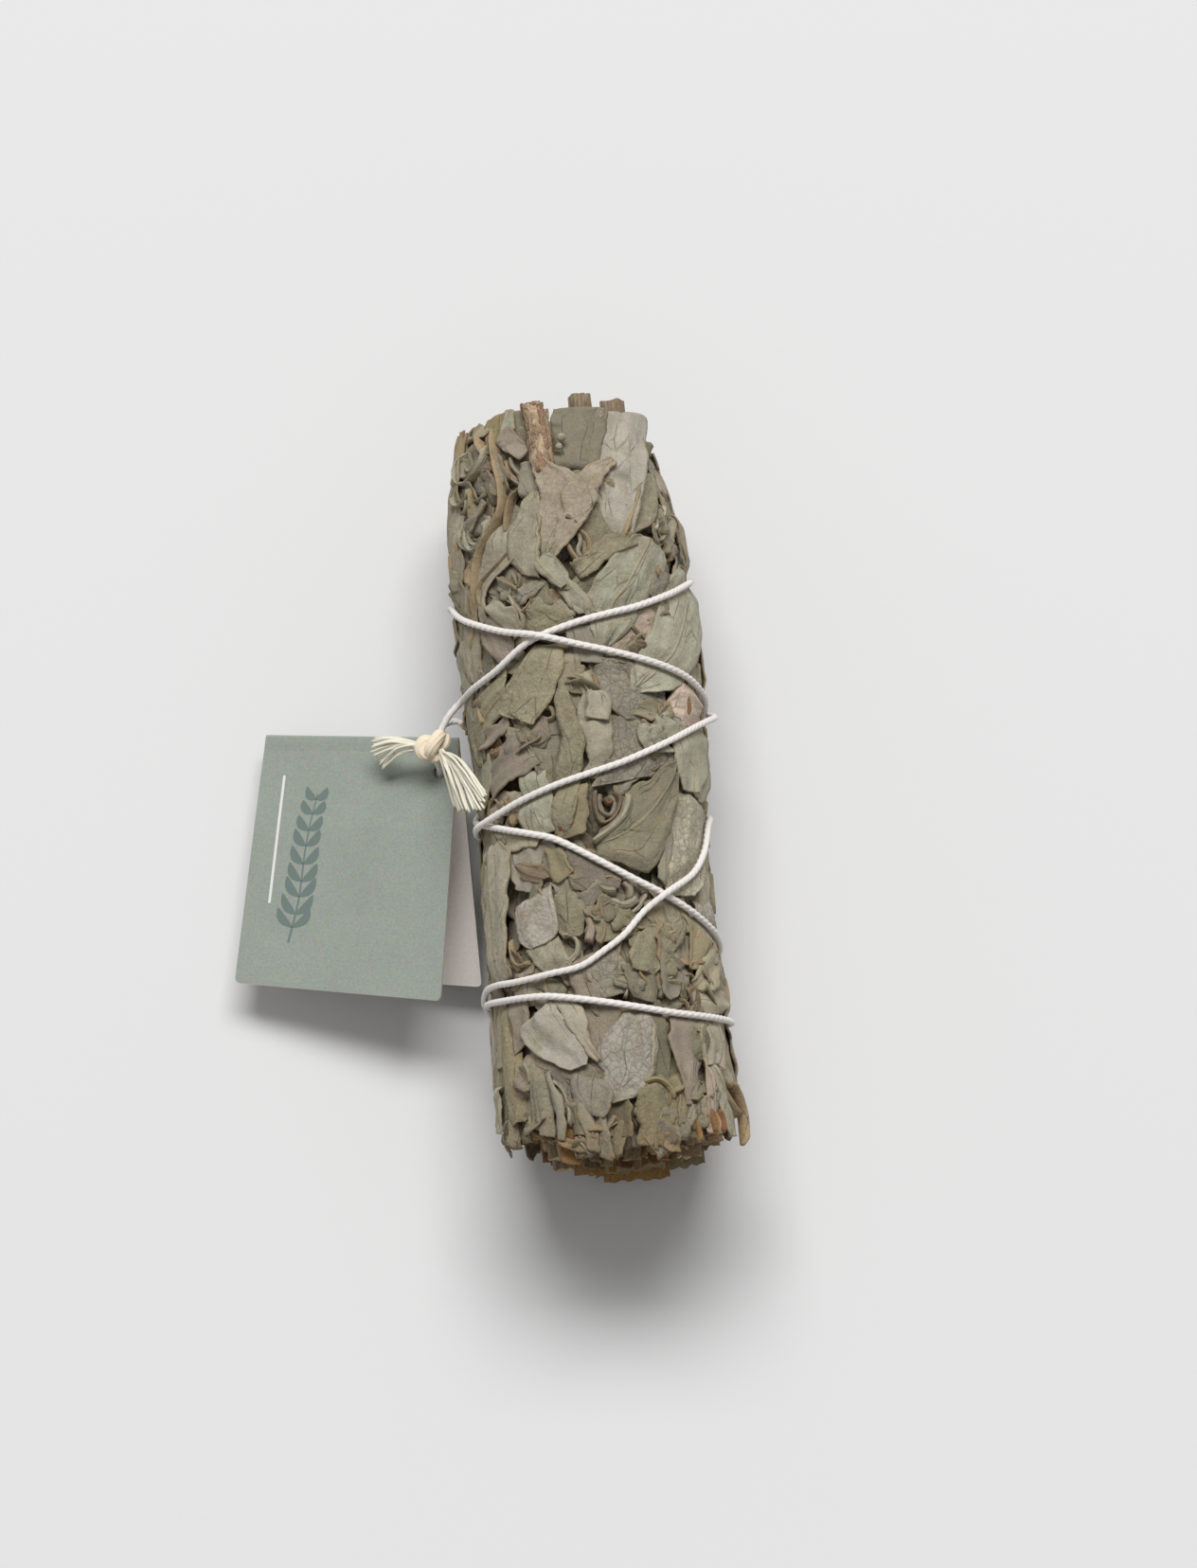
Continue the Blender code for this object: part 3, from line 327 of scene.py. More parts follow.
string_length = sum((b - a).length for a, b in zip(string_line, string_line[1:]))
print("string", round(string_length), "mm long")

# %% [markdown]
# Taut string pinches the leaves that it crosses. Cloth simulation could press them, but it is slow for so
# many leaves. Here each point of a leaf finds the nearest point of the string and is held down below it.

# %% Where the string presses
PRESS_STEP = 0.5
pressing = smooth_route(STRING_ROUTE, PRESS_STEP)
pressed = kdtree.KDTree(3 * len(pressing))
for index, place in enumerate(pressing):
    around = place.x % ROUND
    for lap in (-1, 0, 1):
        pressed.insert(Vector((around + lap * ROUND, place.y, 0)), index)
pressed.balance()
STRING_RADIUS = 0.5
BITE_WIDTH, BITE_SLOPE, BITE_GAP = 0.62, 0.55, 0.08


def under_string(round_at, along, height):
    """The height a leaf is held down to by the string that crosses it."""
    _, _, distance = pressed.find(Vector((round_at % ROUND, along, 0)))
    below = STRING_HEIGHT - STRING_RADIUS - BITE_GAP
    return min(height, below + max(0.0, distance - BITE_WIDTH) * BITE_SLOPE)


print("string sampled at", len(pressing), "points")

# %% [markdown]
# Dried white sage is a grey green leaf with a felt of fine hairs, which scatters light and hides any gloss: a
# rough surface with a little sheen. All the leaves share one material. Each leaf tells it its tone, its
# finish, and where a point lies on it in mm, through attributes on the mesh, so that no two look the same.

# %% Sage leaf and what it reads
NET_CELL, NET_LARGE = 1.05, 3.1
PEBBLE, FELT = 0.5, 0.17
RIM_WIDTH = 0.26
PLEAT = 1.5

sage, tree, shader = new_material("dried sage leaf", 0.95)
shader.inputs["Specular IOR Level"].default_value = 0.15
shader.inputs["Sheen Weight"].default_value = 0.06
shader.inputs["Sheen Roughness"].default_value = 0.6
here = add_node(tree, "TexCoord", out="Object")
tint = add_node(tree, "Attribute", attribute_name="tint")
finish = add_node(tree, "Attribute", out="Vector", attribute_name="finish")
leaf_mm = add_node(tree, "Attribute", out="Vector", attribute_name="leaf_mm")
lot = add_node(tree, "Attribute", out="Fac", attribute_name="lot")
pebbly, netted, ribbed = add_node(tree, "SeparateXYZ", [finish]).node.outputs
across_mm, along_mm, rim_mm = add_node(tree, "SeparateXYZ", [leaf_mm]).node.outputs
print("leaf felt every", FELT, "mm, pebbles every", PEBBLE, "mm")

# %% [markdown]
# Dried leaves wander in tone: green and warm patches, a mottle of about a millimetre, brown towards the near
# cut, and here and there a crumb. Each is a noise at its real size, laid over the leaf's own tint.

# %% Tone of a leaf
blotch = add_node(tree, "TexNoise", [here, 1 / (5.0 * MM), 4, 0.6])
mottle = add_node(tree, "TexNoise", [here, 1 / (1.1 * MM), 4, 0.6])
felt = add_node(tree, "TexNoise", [here, 1 / (FELT * MM), 2])
elsewhere = add_node(tree, "VectorMath", [here, (0.3, 0.7, 0.2)], operation="ADD")
place_along = add_node(tree, "SeparateXYZ", [here], out="Y")
near_cut = add_node(tree, "MapRange", [place_along, -53.0 * MM, -46.0 * MM, 1.0, 0.0])
tone = tint
# Green patches, warm ones, the brown of the near cut, and crumbs: each one's place, size in mm, detail,
# roughness, where its noise starts and is full, how much it then adds, where it lies, and its colour
for place, size, detail, rough, low, high, least, most, within, colour in (
        (here, 3.0, 5, 0.65, 0.5, 0.7, 0.0, 0.4, 1.0, "#7f7d5b"),
        (elsewhere, 3.6, 4, 0.6, 0.52, 0.72, 0.0, 0.45, 1.0, "#907b66"),
        (here, 1.6, 4, 0.6, 0.4, 0.62, 0.05, 0.5, near_cut, "#76592f"),
        (elsewhere, 0.7, 3, 0.7, 0.68, 0.72, 0.0, 0.7, 1.0, "#5f4f35")):
    patches = add_node(tree, "TexNoise", [place, 1 / (size * MM), detail, rough])
    patches = add_node(tree, "MapRange", [patches, low, high, least, most])
    patches = add_node(tree, "Math", [patches, within], operation="MULTIPLY")
    tone = add_node(tree, "Mix", [patches, tone, colour], data_type="RGBA")
for patches, least, most in ((blotch, 0.92, 1.08), (mottle, 0.92, 1.07), (felt, 0.83, 1.13)):
    patches = add_node(tree, "MapRange", [patches, 0.3, 0.7, least, most])
    tone = add_node(tree, "Mix", [1.0, tone, patches], data_type="RGBA", blend_type="MULTIPLY")
print("tone from", len(tree.nodes), "nodes")

# %% [markdown]
# Under the felt the skin is parted by sunken veins into a fine net, and by larger ones into fields. Both are
# the borders of Voronoi cells, which meet in threes as veins do. Noise bends them first, so that no line is
# straight.

# %% Net of veins
bend = add_node(tree, "TexNoise", [here, 1 / (0.9 * MM), 2.0], out="Color")
bent = add_node(tree, "VectorMath", [bend, (0.5, 0.5, 0.5)], operation="SUBTRACT")
bent = add_node(tree, "VectorMath", [bent, 0.7 * MM], operation="SCALE")
bent = add_node(tree, "VectorMath", [here, bent], operation="ADD")
fine = add_node(tree, "TexVoronoi", [bent, 1 / (NET_CELL * MM)], feature="DISTANCE_TO_EDGE")
coarse = add_node(tree, "TexVoronoi", [bent, 1 / (NET_LARGE * MM)], feature="DISTANCE_TO_EDGE")
fine_lines = add_node(tree, "MapRange", [fine, 0.0, 0.11, 0.8, 0.0])
coarse_lines = add_node(tree, "MapRange", [coarse, 0.0, 0.04, 1.0, 0.0])
net_lines = add_node(tree, "Math", [fine_lines, coarse_lines], operation="MAXIMUM")
net_lines = add_node(tree, "Math", [net_lines, netted], operation="MULTIPLY")
cushion = add_node(tree, "MapRange", [fine, 0.0, 0.3, 0.0, 1.0])
cushion = add_node(tree, "Math", [cushion, netted], operation="MULTIPLY")
shaded = add_node(tree, "MapRange", [net_lines, 0.0, 1.0, 1.0, 0.52])
tone = add_node(tree, "Mix", [1.0, tone, shaded], data_type="RGBA", blend_type="MULTIPLY")
print("veins every", NET_CELL, "and", NET_LARGE, "mm")

# %% [markdown]
# Dry skin cracks in thin dark lines along the leaf, the midrib is paler, and the rim dries to tan. These
# follow the leaf and not the bundle, so they read where a point lies across and along its own leaf.

# %% Creases, midrib and rim
x = add_node(tree, "Math", [across_mm, 1 / PLEAT], operation="MULTIPLY")
y = add_node(tree, "Math", [along_mm, 0.3 / PLEAT], operation="MULTIPLY")
leafwise = add_node(tree, "CombineXYZ", [x, y, lot])
cracks = add_node(tree, "TexVoronoi", [leafwise, 0.55], feature="DISTANCE_TO_EDGE")
cracks = add_node(tree, "MapRange", [cracks, 0.0, 0.035, 1.0, 0.0])
in_places = add_node(tree, "MapRange", [blotch, 0.46, 0.58, 0.0, 1.0])
cracks = add_node(tree, "Math", [cracks, in_places], operation="MULTIPLY")
shaded = add_node(tree, "MapRange", [cracks, 0.0, 1.0, 1.0, 0.68])
tone = add_node(tree, "Mix", [1.0, tone, shaded], data_type="RGBA", blend_type="MULTIPLY")
rib = add_node(tree, "Math", [across_mm], operation="ABSOLUTE")
rib = add_node(tree, "MapRange", [rib, 0.08, 0.3, 1.0, 0.0])
rib = add_node(tree, "Math", [rib, ribbed], operation="MULTIPLY")
rim_width = add_node(tree, "MapRange", [mottle, 0.4, 0.62, 0.0, RIM_WIDTH])
rim = add_node(tree, "Math", [rim_mm, rim_width], operation="LESS_THAN")
for line, share, colour in ((rib, 0.55, "#ae9c78"), (rim, 0.5, "#8f7755")):
    line = add_node(tree, "Math", [line, share], operation="MULTIPLY")
    tone = add_node(tree, "Mix", [line, tone, colour], data_type="RGBA")
tree.links.new(tone, shader.inputs["Base Color"])
print("rim", RIM_WIDTH, "mm wide at most")

# %% [markdown]
# Pebbles, the cushions between the veins, pleats along the leaf and the felt are too fine for the mesh, so
# they are one bump made of their heights. What is larger than about a millimetre is real geometry.

# %% Relief of a leaf
pebble = add_node(tree, "TexVoronoi", [bent, 1 / (PEBBLE * MM)], feature="SMOOTH_F1")
pebble = add_node(tree, "Math", [pebble, pebbly], operation="MULTIPLY")
pleats = add_node(tree, "TexVoronoi", [leafwise, 1.0])
height = add_node(tree, "Math", [cushion, 0.45], operation="MULTIPLY")
height = add_node(tree, "Math", [height, pebble], operation="SUBTRACT")
for part, share in ((mottle, 1.3), (pleats, 1.0), (felt, 0.5), (rib, 1.0), (cracks, -0.8)):
    part = add_node(tree, "Math", [part, share], operation="MULTIPLY")
    height = add_node(tree, "Math", [height, part], operation="ADD")
relief = add_node(tree, "Bump", {"Height": height, "Distance": 0.13 * MM})
tree.links.new(relief, shader.inputs["Normal"])
print("leaf material has", len(tree.nodes), "nodes")

# %% [markdown]
# Sage dries to many tones, from silver to olive, mauve and rust, and its skin can be smooth, pebbled, netted
# or ribbed. Painting a texture for each leaf would be slow. Here each leaf picks a named tone and a named
# finish: how strong its pebbles, its net and its pleats are.

# %% Tones and finishes of the leaves
TONES = {name: linear(colour) for name, colour in {
    "light": "#a39c88", "mid": "#978f7b", "green": "#86806b", "greygreen": "#a29f8b", "mauve": "#948879",
    "olive": "#948c74", "star": "#ac9f8b", "silver": "#aea799", "cream": "#aea692", "tan": "#a28e70",
    "pink": "#b3a190", "yellow": "#998a65", "brown": "#7f705c", "rust": "#714b33", "dark": "#6b5e4a",
    "lime": "#90866a", "grey": "#958e7f", "orange": "#9a7648",
}.items()}
FINISHES = {"smooth": (0.2, 0.08, 0.0), "pebbly": (0.9, 0.35, 0.0), "net": (0.2, 0.8, 0.0),
            "ribbed": (0.35, 0.3, 0.8), "netrib": (0.2, 0.8, 0.8), "crisp": (0.5, 0.4, 0.0),
            "crest": (0.3, 0.1, 0.5)}
LEAF_THICKNESS = 0.24
LOWEST = 0.12
FINE_STEP, COARSE_STEP, FOLD_STEP = 0.42, 0.68, 0.4


def new_leaves():
    """An empty mesh whose points carry what the sage material reads."""
    bm = bmesh.new()
    bm.verts.layers.float_color.new("tint")
    bm.verts.layers.float_vector.new("finish")
    bm.verts.layers.float_vector.new("leaf_mm")
    bm.verts.layers.float.new("lot")
    return bm


print(len(TONES), "leaf tones and", len(FINISHES), "finishes")

# %% [markdown]
# A leaf is a thin sheet that lies on the bundle, bends with it and is worn at its edges. Sculpting so many by
# hand would be slow, and cloth is hard to steer. So each leaf is a grid, moved by noise at the sizes that dry
# leaves show: broad waves, pleats, creases, a curled rim and torn edges. Where the string crosses, it is held
# down.


# %% A leaf as a bent sheet
def turn_outward(bm, corners):
    """Turn the faces of a new sheet so that they look away from the bundle's axis."""
    faces = list({face for corner in corners for face in corner.link_faces})
    facing = 0.0
    for face in faces:
        face.normal_update()
        middle = face.calc_center_median()
        facing += face.normal.dot(middle - Vector((between(SHIFT_ALONG, middle.y), middle.y, AXIS_HEIGHT)))
    if facing < 0:
        bmesh.ops.reverse_faces(bm, faces=faces)


def lay_sheet(bm, place_of, step, tone, finish, rib=0.5, fold=0.4, crease=0.3, ragged=0.45, curl=0.5,
              seed=0.0, shade=1.0):
    """Lay a leaf: place_of gives round, along and height, u from base to tip and v from edge to edge."""
    tint, look, mm, lot = (bm.verts.layers.float_color["tint"], bm.verts.layers.float_vector["finish"],
                           bm.verts.layers.float_vector["leaf_mm"], bm.verts.layers.float["lot"])
    across = [Vector(place_of(0.5, k / 8)) for k in range(9)]
    down = [Vector(place_of(k / 8, 0.5)) for k in range(9)]
    span = sum((b - a).length for a, b in zip(across, across[1:]))
    length = sum((b - a).length for a, b in zip(down, down[1:]))
    rows, columns = max(5, min(34, round(length / step))), max(4, min(22, round(span / step)))
    corners = bmesh.ops.create_grid(bm, x_segments=columns, y_segments=rows, size=1)["verts"]
    period = PLEAT * max(1.0, span / 4.5)
    base = Vector(TONES[tone]) * shade * (1 + 0.1 * noise.noise(Vector((seed, 1, 1))))
    for corner in corners:
        v, u = (corner.co.x + 1) / 2, (corner.co.y + 1) / 2
        side = 1 if v > 0.5 else -1
        edge = abs(2 * v - 1)
        width = max((Vector(place_of(u, 1)) - Vector(place_of(u, 0))).length, 0.3)
        wear = noise.noise(Vector((u * length / 1.8, side * 5, seed))) \
            + 0.5 * noise.noise(Vector((u * length / 0.7, side * 9, seed)))
        wear = max(-0.3, min(0.25, ragged * wear / width)) * edge
        end = 0.6 * ragged / length * noise.noise(Vector((v * span / 0.8, seed, 4))) * (abs(2 * u - 1) > 0.95)
        round_at, along, height = place_of(u + end, v + side * wear)
        spot = Vector((round_at, along, 0))
        pleat = Vector((v * span / period, u * length / (4 * period), seed))
        height += 0.45 * noise.noise(spot / 6.5) + fold * noise.noise(pleat)
        height -= crease * 2 * abs(noise.noise(pleat * 0.8 + Vector((9, 4, 0))))
        height += curl * edge ** 3 * noise.noise(Vector((u * length / 3.0, side * 3, seed + 60)))
        height = under_string(round_at, along, height)
        corner.co = on_bundle(round_at, along, height)
        corner.co.z = max(corner.co.z, LOWEST + 0.2 * abs(noise.noise(spot)))
        corner[tint] = (*(base * (1 + 0.08 * noise.noise(spot / 2 + Vector((0, 0, seed))))), 1)
        corner[look] = Vector(FINISHES[finish])
        corner[mm] = Vector(((v - rib) * span, u * length, min(min(v, 1 - v) * width, (1 - u) * length)))
        corner[lot] = seed
    turn_outward(bm, corners)
    return corners


print("a leaf is a grid with a line every", FINE_STEP, "mm")

# %% [markdown]
# A leaf seen from above is told by rungs, from its base to its tip: where its left and its right edge lie. A
# drawn outline would need many more numbers. Smooth curves join the rungs, and each leaf is grown a little
# all round, so that it tucks under its neighbours.


# %% Leaves told by rungs
def rungs_at(rungs, u):
    """The two edge points of a leaf at a share of its length, on smooth curves through its rungs."""
    spot = u * (len(rungs) - 1)
    index = min(int(spot), len(rungs) - 2)
    t = spot - index
    a, b = rungs[max(index - 1, 0)], rungs[index]
    c, d = rungs[index + 1], rungs[min(index + 2, len(rungs) - 1)]
    return [q + 0.5 * t * (r - p + t * (2 * p - 5 * q + 4 * r - s + t * (3 * q - p - 3 * r + s)))
            for p, q, r, s in zip(a, b, c, d)]


def grown(rungs, by):
    """The rungs of a leaf made larger all round, so that it tucks under its neighbours."""
    wider = []
    for lx, ly, rx, ry in rungs:
        out = Vector((rx - lx, ry - ly)).normalized() * by
        wider.append(Vector((lx - out.x, ly - out.y, rx + out.x, ry + out.y)))
    for end, inner in ((0, 1), (-1, -2)):
        way = wider[end] - wider[inner]
        way = Vector((way[0] + way[2], way[1] + way[3])).normalized() * by
        wider[end] += Vector((way.x, way.y, way.x, way.y))
    return [tuple(rung) for rung in wider]


def lay_leaf(bm, tone, finish, rungs, lift=0.5, tilt=0.0, cup=0.05, slope=0.0, sink=1.0, step=FINE_STEP,
             **more):
    """A lying leaf: lift is its middle's height, tilt raises its right edge, and cup raises both edges."""
    def place_of(u, v):
        lx, ly, rx, ry = rungs_at(rungs, min(max(u, 0), 1))
        base = max(0.0, 1 - u / 0.18)
        height = lift + tilt * (v - 0.5) + cup * (2 * v - 1) ** 2 + slope * (u - 0.5) - sink * base * base
        return lx + (rx - lx) * v, ly + (ry - ly) * v, height

    return lay_sheet(bm, place_of, step, tone, finish, **more)


print("half way up a leaf:", rungs_at([(0, 0, 4, 0), (0, 9, 4, 9)], 0.5))

# %% [markdown]
# Many dry leaves fold along the midrib and stand on edge, like small tents in a row. A flat sheet could be
# folded with an armature. An arch drawn along a path is shorter, and it fades out at both ends.


# %% Folded leaves
def lay_fold(bm, tone, path, low=-1.6, high=0.6, width=0.8, lean=0.0, **more):
    """A leaf folded lengthwise, standing on both its edges: an arch along a path."""
    points = smooth_route([(x, y, 0) for x, y in path], FOLD_STEP)

    def place_of(u, v):
        spot = min(max(u, 0), 1) * (len(points) - 1)
        index = min(int(spot), len(points) - 2)
        here = points[index].lerp(points[index + 1], spot - index)
        way = (points[index + 1] - points[index]).normalized()
        arch = max(0.0, math.sin(math.pi * min(max(v, 0), 1)))
        fade = min(1.0, max(0.02, min(u, 1 - u) + 0.02) / 0.12)
        off = lean * arch - math.cos(math.pi * v) * width / 2
        return here.x + way.y * off, here.y - way.x * off, low + (high - low) * fade ** 0.5 * arch ** 0.6

    return lay_sheet(bm, place_of, FOLD_STEP, tone, "crest", fold=0.2, crease=0.1, ragged=0.0, curl=0.0,
                     **more)


print("a folded leaf is a grid with a line every", FOLD_STEP, "mm")

# %% [markdown]
# These are laid one by one, with each leaf's outline, tone and order as they lie on the real bundle. A shade,
# where one is given, sets how light a leaf looks where it lies, so it carries painted light and shade as well as
# the leaf's own tone.
# Scattering them by chance would be quicker, but it would be another bundle. They are kept in a list, and
# laid once the list is whole. This cell holds the far end, around and to the right of the barked stem.

# %% Leaves at the far end
SEEN = []


def leaf(tone, finish, *rungs, **more):
    """List a lying leaf by its rungs."""
    SEEN.append(("lay", tone, finish, rungs, more))


def strip(tone, *path, **more):
    """List a folded leaf by the path of its ridge."""
    SEEN.append(("stand", tone, None, path, more))


leaf("mid", "smooth", (0.6, 39.6, 5.4, 39.2), (0.2, 42, 6.4, 41.6), (0.4, 44.8, 8, 44.8),
     (0.8, 47.4, 9.4, 47.6), lift=0.3, tilt=0.5, fold=0.3, shade=0.76)
leaf("silver", "smooth", (7.2, 27.8, 8.3, 27.8), (4.2, 31.6, 9.8, 32.6), (3.8, 35.4, 12, 36.6),
     (5, 39.6, 14.6, 40.6), (7, 43.6, 17, 44.6), (8.8, 47.3, 20.4, 48.4), lift=0.6, tilt=1.5, slope=0.7,
     rib=0.93, ragged=0.15, fold=0.2)
leaf("green", "smooth", (15.4, 30.5, 17.8, 30), (15, 34, 19.6, 33.5), (14.2, 38, 19.8, 38.5),
     (13.4, 41.4, 18.6, 41.6), lift=-0.2, shade=1.12)
leaf("mid", "smooth", (17, 40, 21.5, 39), (16.4, 43, 21, 43), (16.2, 46.5, 19.5, 46), lift=0.1)
leaf("green", "crisp", (8.4, 29.8, 9.9, 29.8), (9.4, 32, 12.8, 31.8), (11, 35.8, 15.2, 35.6),
     (13.6, 38.6, 15.6, 39), lift=0.75, tilt=-0.5, fold=0.5, shade=1.12)
strip("tan", (7.5, 28.8), (8.6, 31), (10.2, 34), (11.6, 36.4), low=-0.6, high=1.15)
strip("cream", (12.5, 32.6), (13.6, 32.9), (14.2, 32), (13.6, 30.9), (12.6, 31.2), (12.4, 32.2), (13.2, 32.2),
      low=-1.4, high=0.9)
strip("cream", (14.4, 30.6), (15.2, 31.6), (16.6, 33.4), (17.4, 35.2), low=-1, high=0.7)
strip("brown", (15.2, 30.4), (16.4, 31.4), (18.2, 32), low=-1.2, high=0.5)
# Its shade of 0.9 is painted shadow, from the gap beside the star leaf.
leaf("olive", "crisp", (3, 26.4, 6.8, 26.6), (2.6, 29.2, 7.4, 28.6), (2.8, 31.4, 7.6, 31),
     (3.4, 33, 7.2, 32.9), lift=0.1, fold=0.35, shade=0.9)
leaf("greygreen", "ribbed", (2.6, 13.9, 3.4, 13.9), (2, 16.8, 6.8, 16.6), (1.5, 19.8, 9.2, 19.8),
     (2.9, 22.6, 12.2, 22.2), (5.4, 25.6, 13.9, 25.2), (8, 28.4, 14.8, 27.6), (10.4, 29.3, 13.2, 28.6),
     lift=0.75, cup=-0.02, rib=0.45)
leaf("olive", "crisp", (0.2, 25, 1, 23.4), (2.4, 26.8, 3.2, 24.8), (5.2, 28.6, 6, 26.6),
     (9.6, 29.6, 9.4, 28.4), lift=0.85, cup=0)
leaf("grey", "crisp", (10.6, 21.4, 11.6, 20.6), (11.2, 22.8, 13.4, 22), (12.6, 25, 14.6, 24.4), lift=1.1,
     fold=0.6, shade=0.85)
leaf("star", "crisp", (0, 31.6, 2.6, 31), (0.2, 35, 4.4, 34.4), (2.6, 37.8, 5.4, 36.6),
     (5.8, 39.6, 7.2, 38.6), (7.8, 40.4, 8.6, 39.7), lift=1.1, tilt=-0.2)
leaf("star", "crisp", (-3.7, 26.8, -2.2, 26.2), (-3.9, 28.8, -0.2, 28.3), (-3.5, 31.4, 2.2, 30.8),
     (-3.1, 34.4, 3.6, 33.8), (-3, 37, 2.2, 37.4), (-3.3, 39, -0.4, 39.2), (-3.4, 41, -2.2, 41.2), lift=1.2,
     tilt=0.2, fold=0.5)
strip("dark", (0, 31.9), (0.9, 31.2), (1.8, 30.2), low=0.7, high=1.4)
strip("tan", (1.4, 30.2), (2.6, 28.8), (2.7, 27), (1.7, 25.4), low=-0.8, high=0.9)
strip("cream", (1.5, 30), (1.7, 28.4), (1.2, 27.2), (1.6, 25.8), low=-0.8, high=0.7)
strip("tan", (-0.2, 28.4), (0.4, 26.8), (1.2, 25.2), low=-0.4, high=1)
print(len(SEEN), "leaves and folds so far")

# %% [markdown]
# Beside the barked stem narrow leaves lie along the bundle, some flat and some folded on edge. They could be
# bent round one by one in the viewport. Told as rungs and ridges, they can be moved by changing a number.

# %% Leaves left of the barked stem
leaf("mauve", "smooth", (-11, 36, -8.4, 35.6), (-9.8, 39.4, -6.2, 38.6), (-8.4, 42.6, -4.8, 41.8), lift=-0.5)
leaf("grey", "smooth", (-4.9, 35.8, -3.2, 35.6), (-5, 37.8, -2.6, 37.8), (-4.4, 39.6, -2.8, 39.8), lift=0.3,
     cup=-0.08)
strip("mauve", (-8.8, 41.6), (-7.8, 39.4), (-6.4, 37.8), (-4.8, 36.6), low=-1.4, high=0.5)
strip("tan", (-7.9, 41.4), (-7, 39), (-5.6, 37.6), low=-1.4, high=0.2)
strip("mid", (-6.8, 41.6), (-6.4, 39.8), (-5, 37.9), low=-1.4, high=0.6)
leaf("mauve", "smooth", (-8.9, 43.4, -7.6, 42.6), (-7.9, 45.2, -6.4, 41.6), (-6.2, 45, -5.2, 41),
     (-4.6, 43, -4.3, 42.2), lift=0.7, cup=0.3, tilt=0.4, shade=1.12)
leaf("mid", "smooth", (-6.6, 44, -4.4, 44), (-6.8, 45.8, -4.4, 46), (-6.6, 47.2, -4.6, 47.4), lift=-0.4,
     shade=0.72)
leaf("greygreen", "smooth", (-8.4, 44.4, -7.4, 44), (-8.2, 46.4, -6.6, 46), (-7.6, 48.2, -6.6, 48), lift=0.6,
     cup=0)
leaf("yellow", "crisp", (-10.4, 43.6, -9, 43.6), (-11.6, 45.6, -8.2, 45.2), (-12.2, 47.4, -8, 47.6), lift=0,
     shade=0.88)
strip("tan", (-11.8, 47.4), (-10, 43.8), (-8.8, 39.3), (-8.5, 36.5), (-8.8, 33.9), (-10.5, 31.6),
      (-12.6, 29.5), (-13.9, 27.2), (-15.4, 22.3), (-17.2, 17.6), (-17.9, 15.1), high=1.3, width=0.9)
leaf("mid", "smooth", (-11.6, 38, -9.6, 38), (-12.4, 35, -9.8, 35), (-13.6, 32, -10.6, 32),
     (-14.4, 29, -12.6, 29.4), lift=-0.5, shade=0.85)
strip("tan", (-5.2, 37), (-7.2, 35.6), (-8, 33.4), (-8.4, 30.4), high=0.8, width=0.7)
leaf("light", "ribbed", (-9.9, 31.8, -7.6, 31.6), (-11.4, 29.4, -6.9, 28.8), (-13.2, 26.8, -8, 26.6),
     (-14.6, 24.4, -12.4, 24), (-14.5, 22, -13, 21.8), (-13.9, 20, -13.2, 20.2), lift=0.55, tilt=0.5,
     rib=0.85)
strip("tan", (-7, 29.6), (-8.2, 28), (-10.6, 26.4), (-13, 25), (-14, 23.4), (-13.6, 21), high=0.9, width=0.8,
      shade=0.92)
leaf("light", "ribbed", (-3.8, 36, -3.2, 35.8), (-5.5, 33.4, -3.1, 33), (-7.3, 30.6, -3.6, 30),
     (-7.8, 27.4, -4, 27.2), (-6.4, 24.8, -4.2, 24), lift=0.8, tilt=0.35, rib=0.93)
leaf("greygreen", "ribbed", (-4.3, 26, -3.4, 27.2), (-3.8, 24.2, -1.6, 26), (-2.6, 22.6, -0.4, 24),
     (-1.4, 22, -0.6, 22.8), lift=1.1, rib=0.3)
leaf("light", "smooth", (-1.7, 22.6, -0.7, 23.4), (-1, 20.6, 1, 21), (0.2, 18.6, 2.5, 18.8), lift=0.8)
leaf("mid", "smooth", (-4.8, 22.4, -3.6, 23.2), (-4.2, 20, -1.8, 21.4), (-2.6, 18.4, -0.2, 19.8), lift=0.35)
leaf("mid", "smooth", (-9.8, 25.8, -6.4, 25.8), (-9.2, 23.6, -6.6, 23.8), (-8.6, 22, -6.8, 22.6), lift=0.1,
     cup=0.32)
strip("brown", (-9.4, 24.8), (-8.2, 23.4), (-7.2, 23), (-6.8, 24.2), (-7.4, 25.2), low=-1.2, high=0.8)

print(len(SEEN), "leaves and folds so far")

# %% [markdown]
# A leaf that dries in a roll shows nested arcs at its end. It could be one spiral sheet. Separate folds round
# one middle, each shorter and lower than the one outside it, are easier to place and look as worn.


# %% Rolled leaves on the far left
def roll(tones, middle, reach, start, stop, depth=0.35, bend=0.9):
    """A rolled leaf seen from its end: arcs round a middle, each lower than the one outside it."""
    for k, tone in enumerate(tones):
        size = 1 - k / (len(tones) + 0.6)
        turns = [math.radians(start + (stop - start) * n / 6 + 14 * k) for n in range(7)]
        arc = [(middle[0] + reach[0] * size * math.cos(a), middle[1] + reach[1] * size * math.sin(a) * bend)
               for a in turns]
        strip(tone, *arc, low=-2.6, high=1.0 - depth * k, width=0.8)


roll(("light", "mid", "mauve"), (-16.0, 43.0), (4.3, 3.6), 130, 395, depth=0.5)
roll(("greygreen", "light", "mid"), (-13.9, 32.3), (2.5, 2.9), 110, 400, depth=0.45)
roll(("light", "mid"), (-17.6, 38.6), (2.6, 1.7), 150, 380, depth=0.5)
leaf("mauve", "smooth", (-20.2, 41.4, -15.6, 42), (-19.8, 43.8, -14.8, 44.2), (-18.4, 45.8, -14, 46),
     lift=-0.5, tilt=0.2)
leaf("tan", "crisp", (-23.4, 43, -20.8, 43.6), (-23.4, 45.6, -20.4, 46.2), (-22.6, 47.8, -19.4, 47.6),
     lift=0.5, slope=0.9, tilt=0)
leaf("mauve", "smooth", (19, 34, 22, 33.6), (19.6, 30.4, 23.2, 30), (20.2, 27, 23.4, 26.6),
     (20.8, 24.6, 22.6, 24.2), lift=1.2, tilt=-0.6)
strip("tan", (-14.4, 46.6), (-13.4, 44.8), (-12.2, 43.4), (-11.4, 42.6), low=-1.4, high=1, width=0.8)
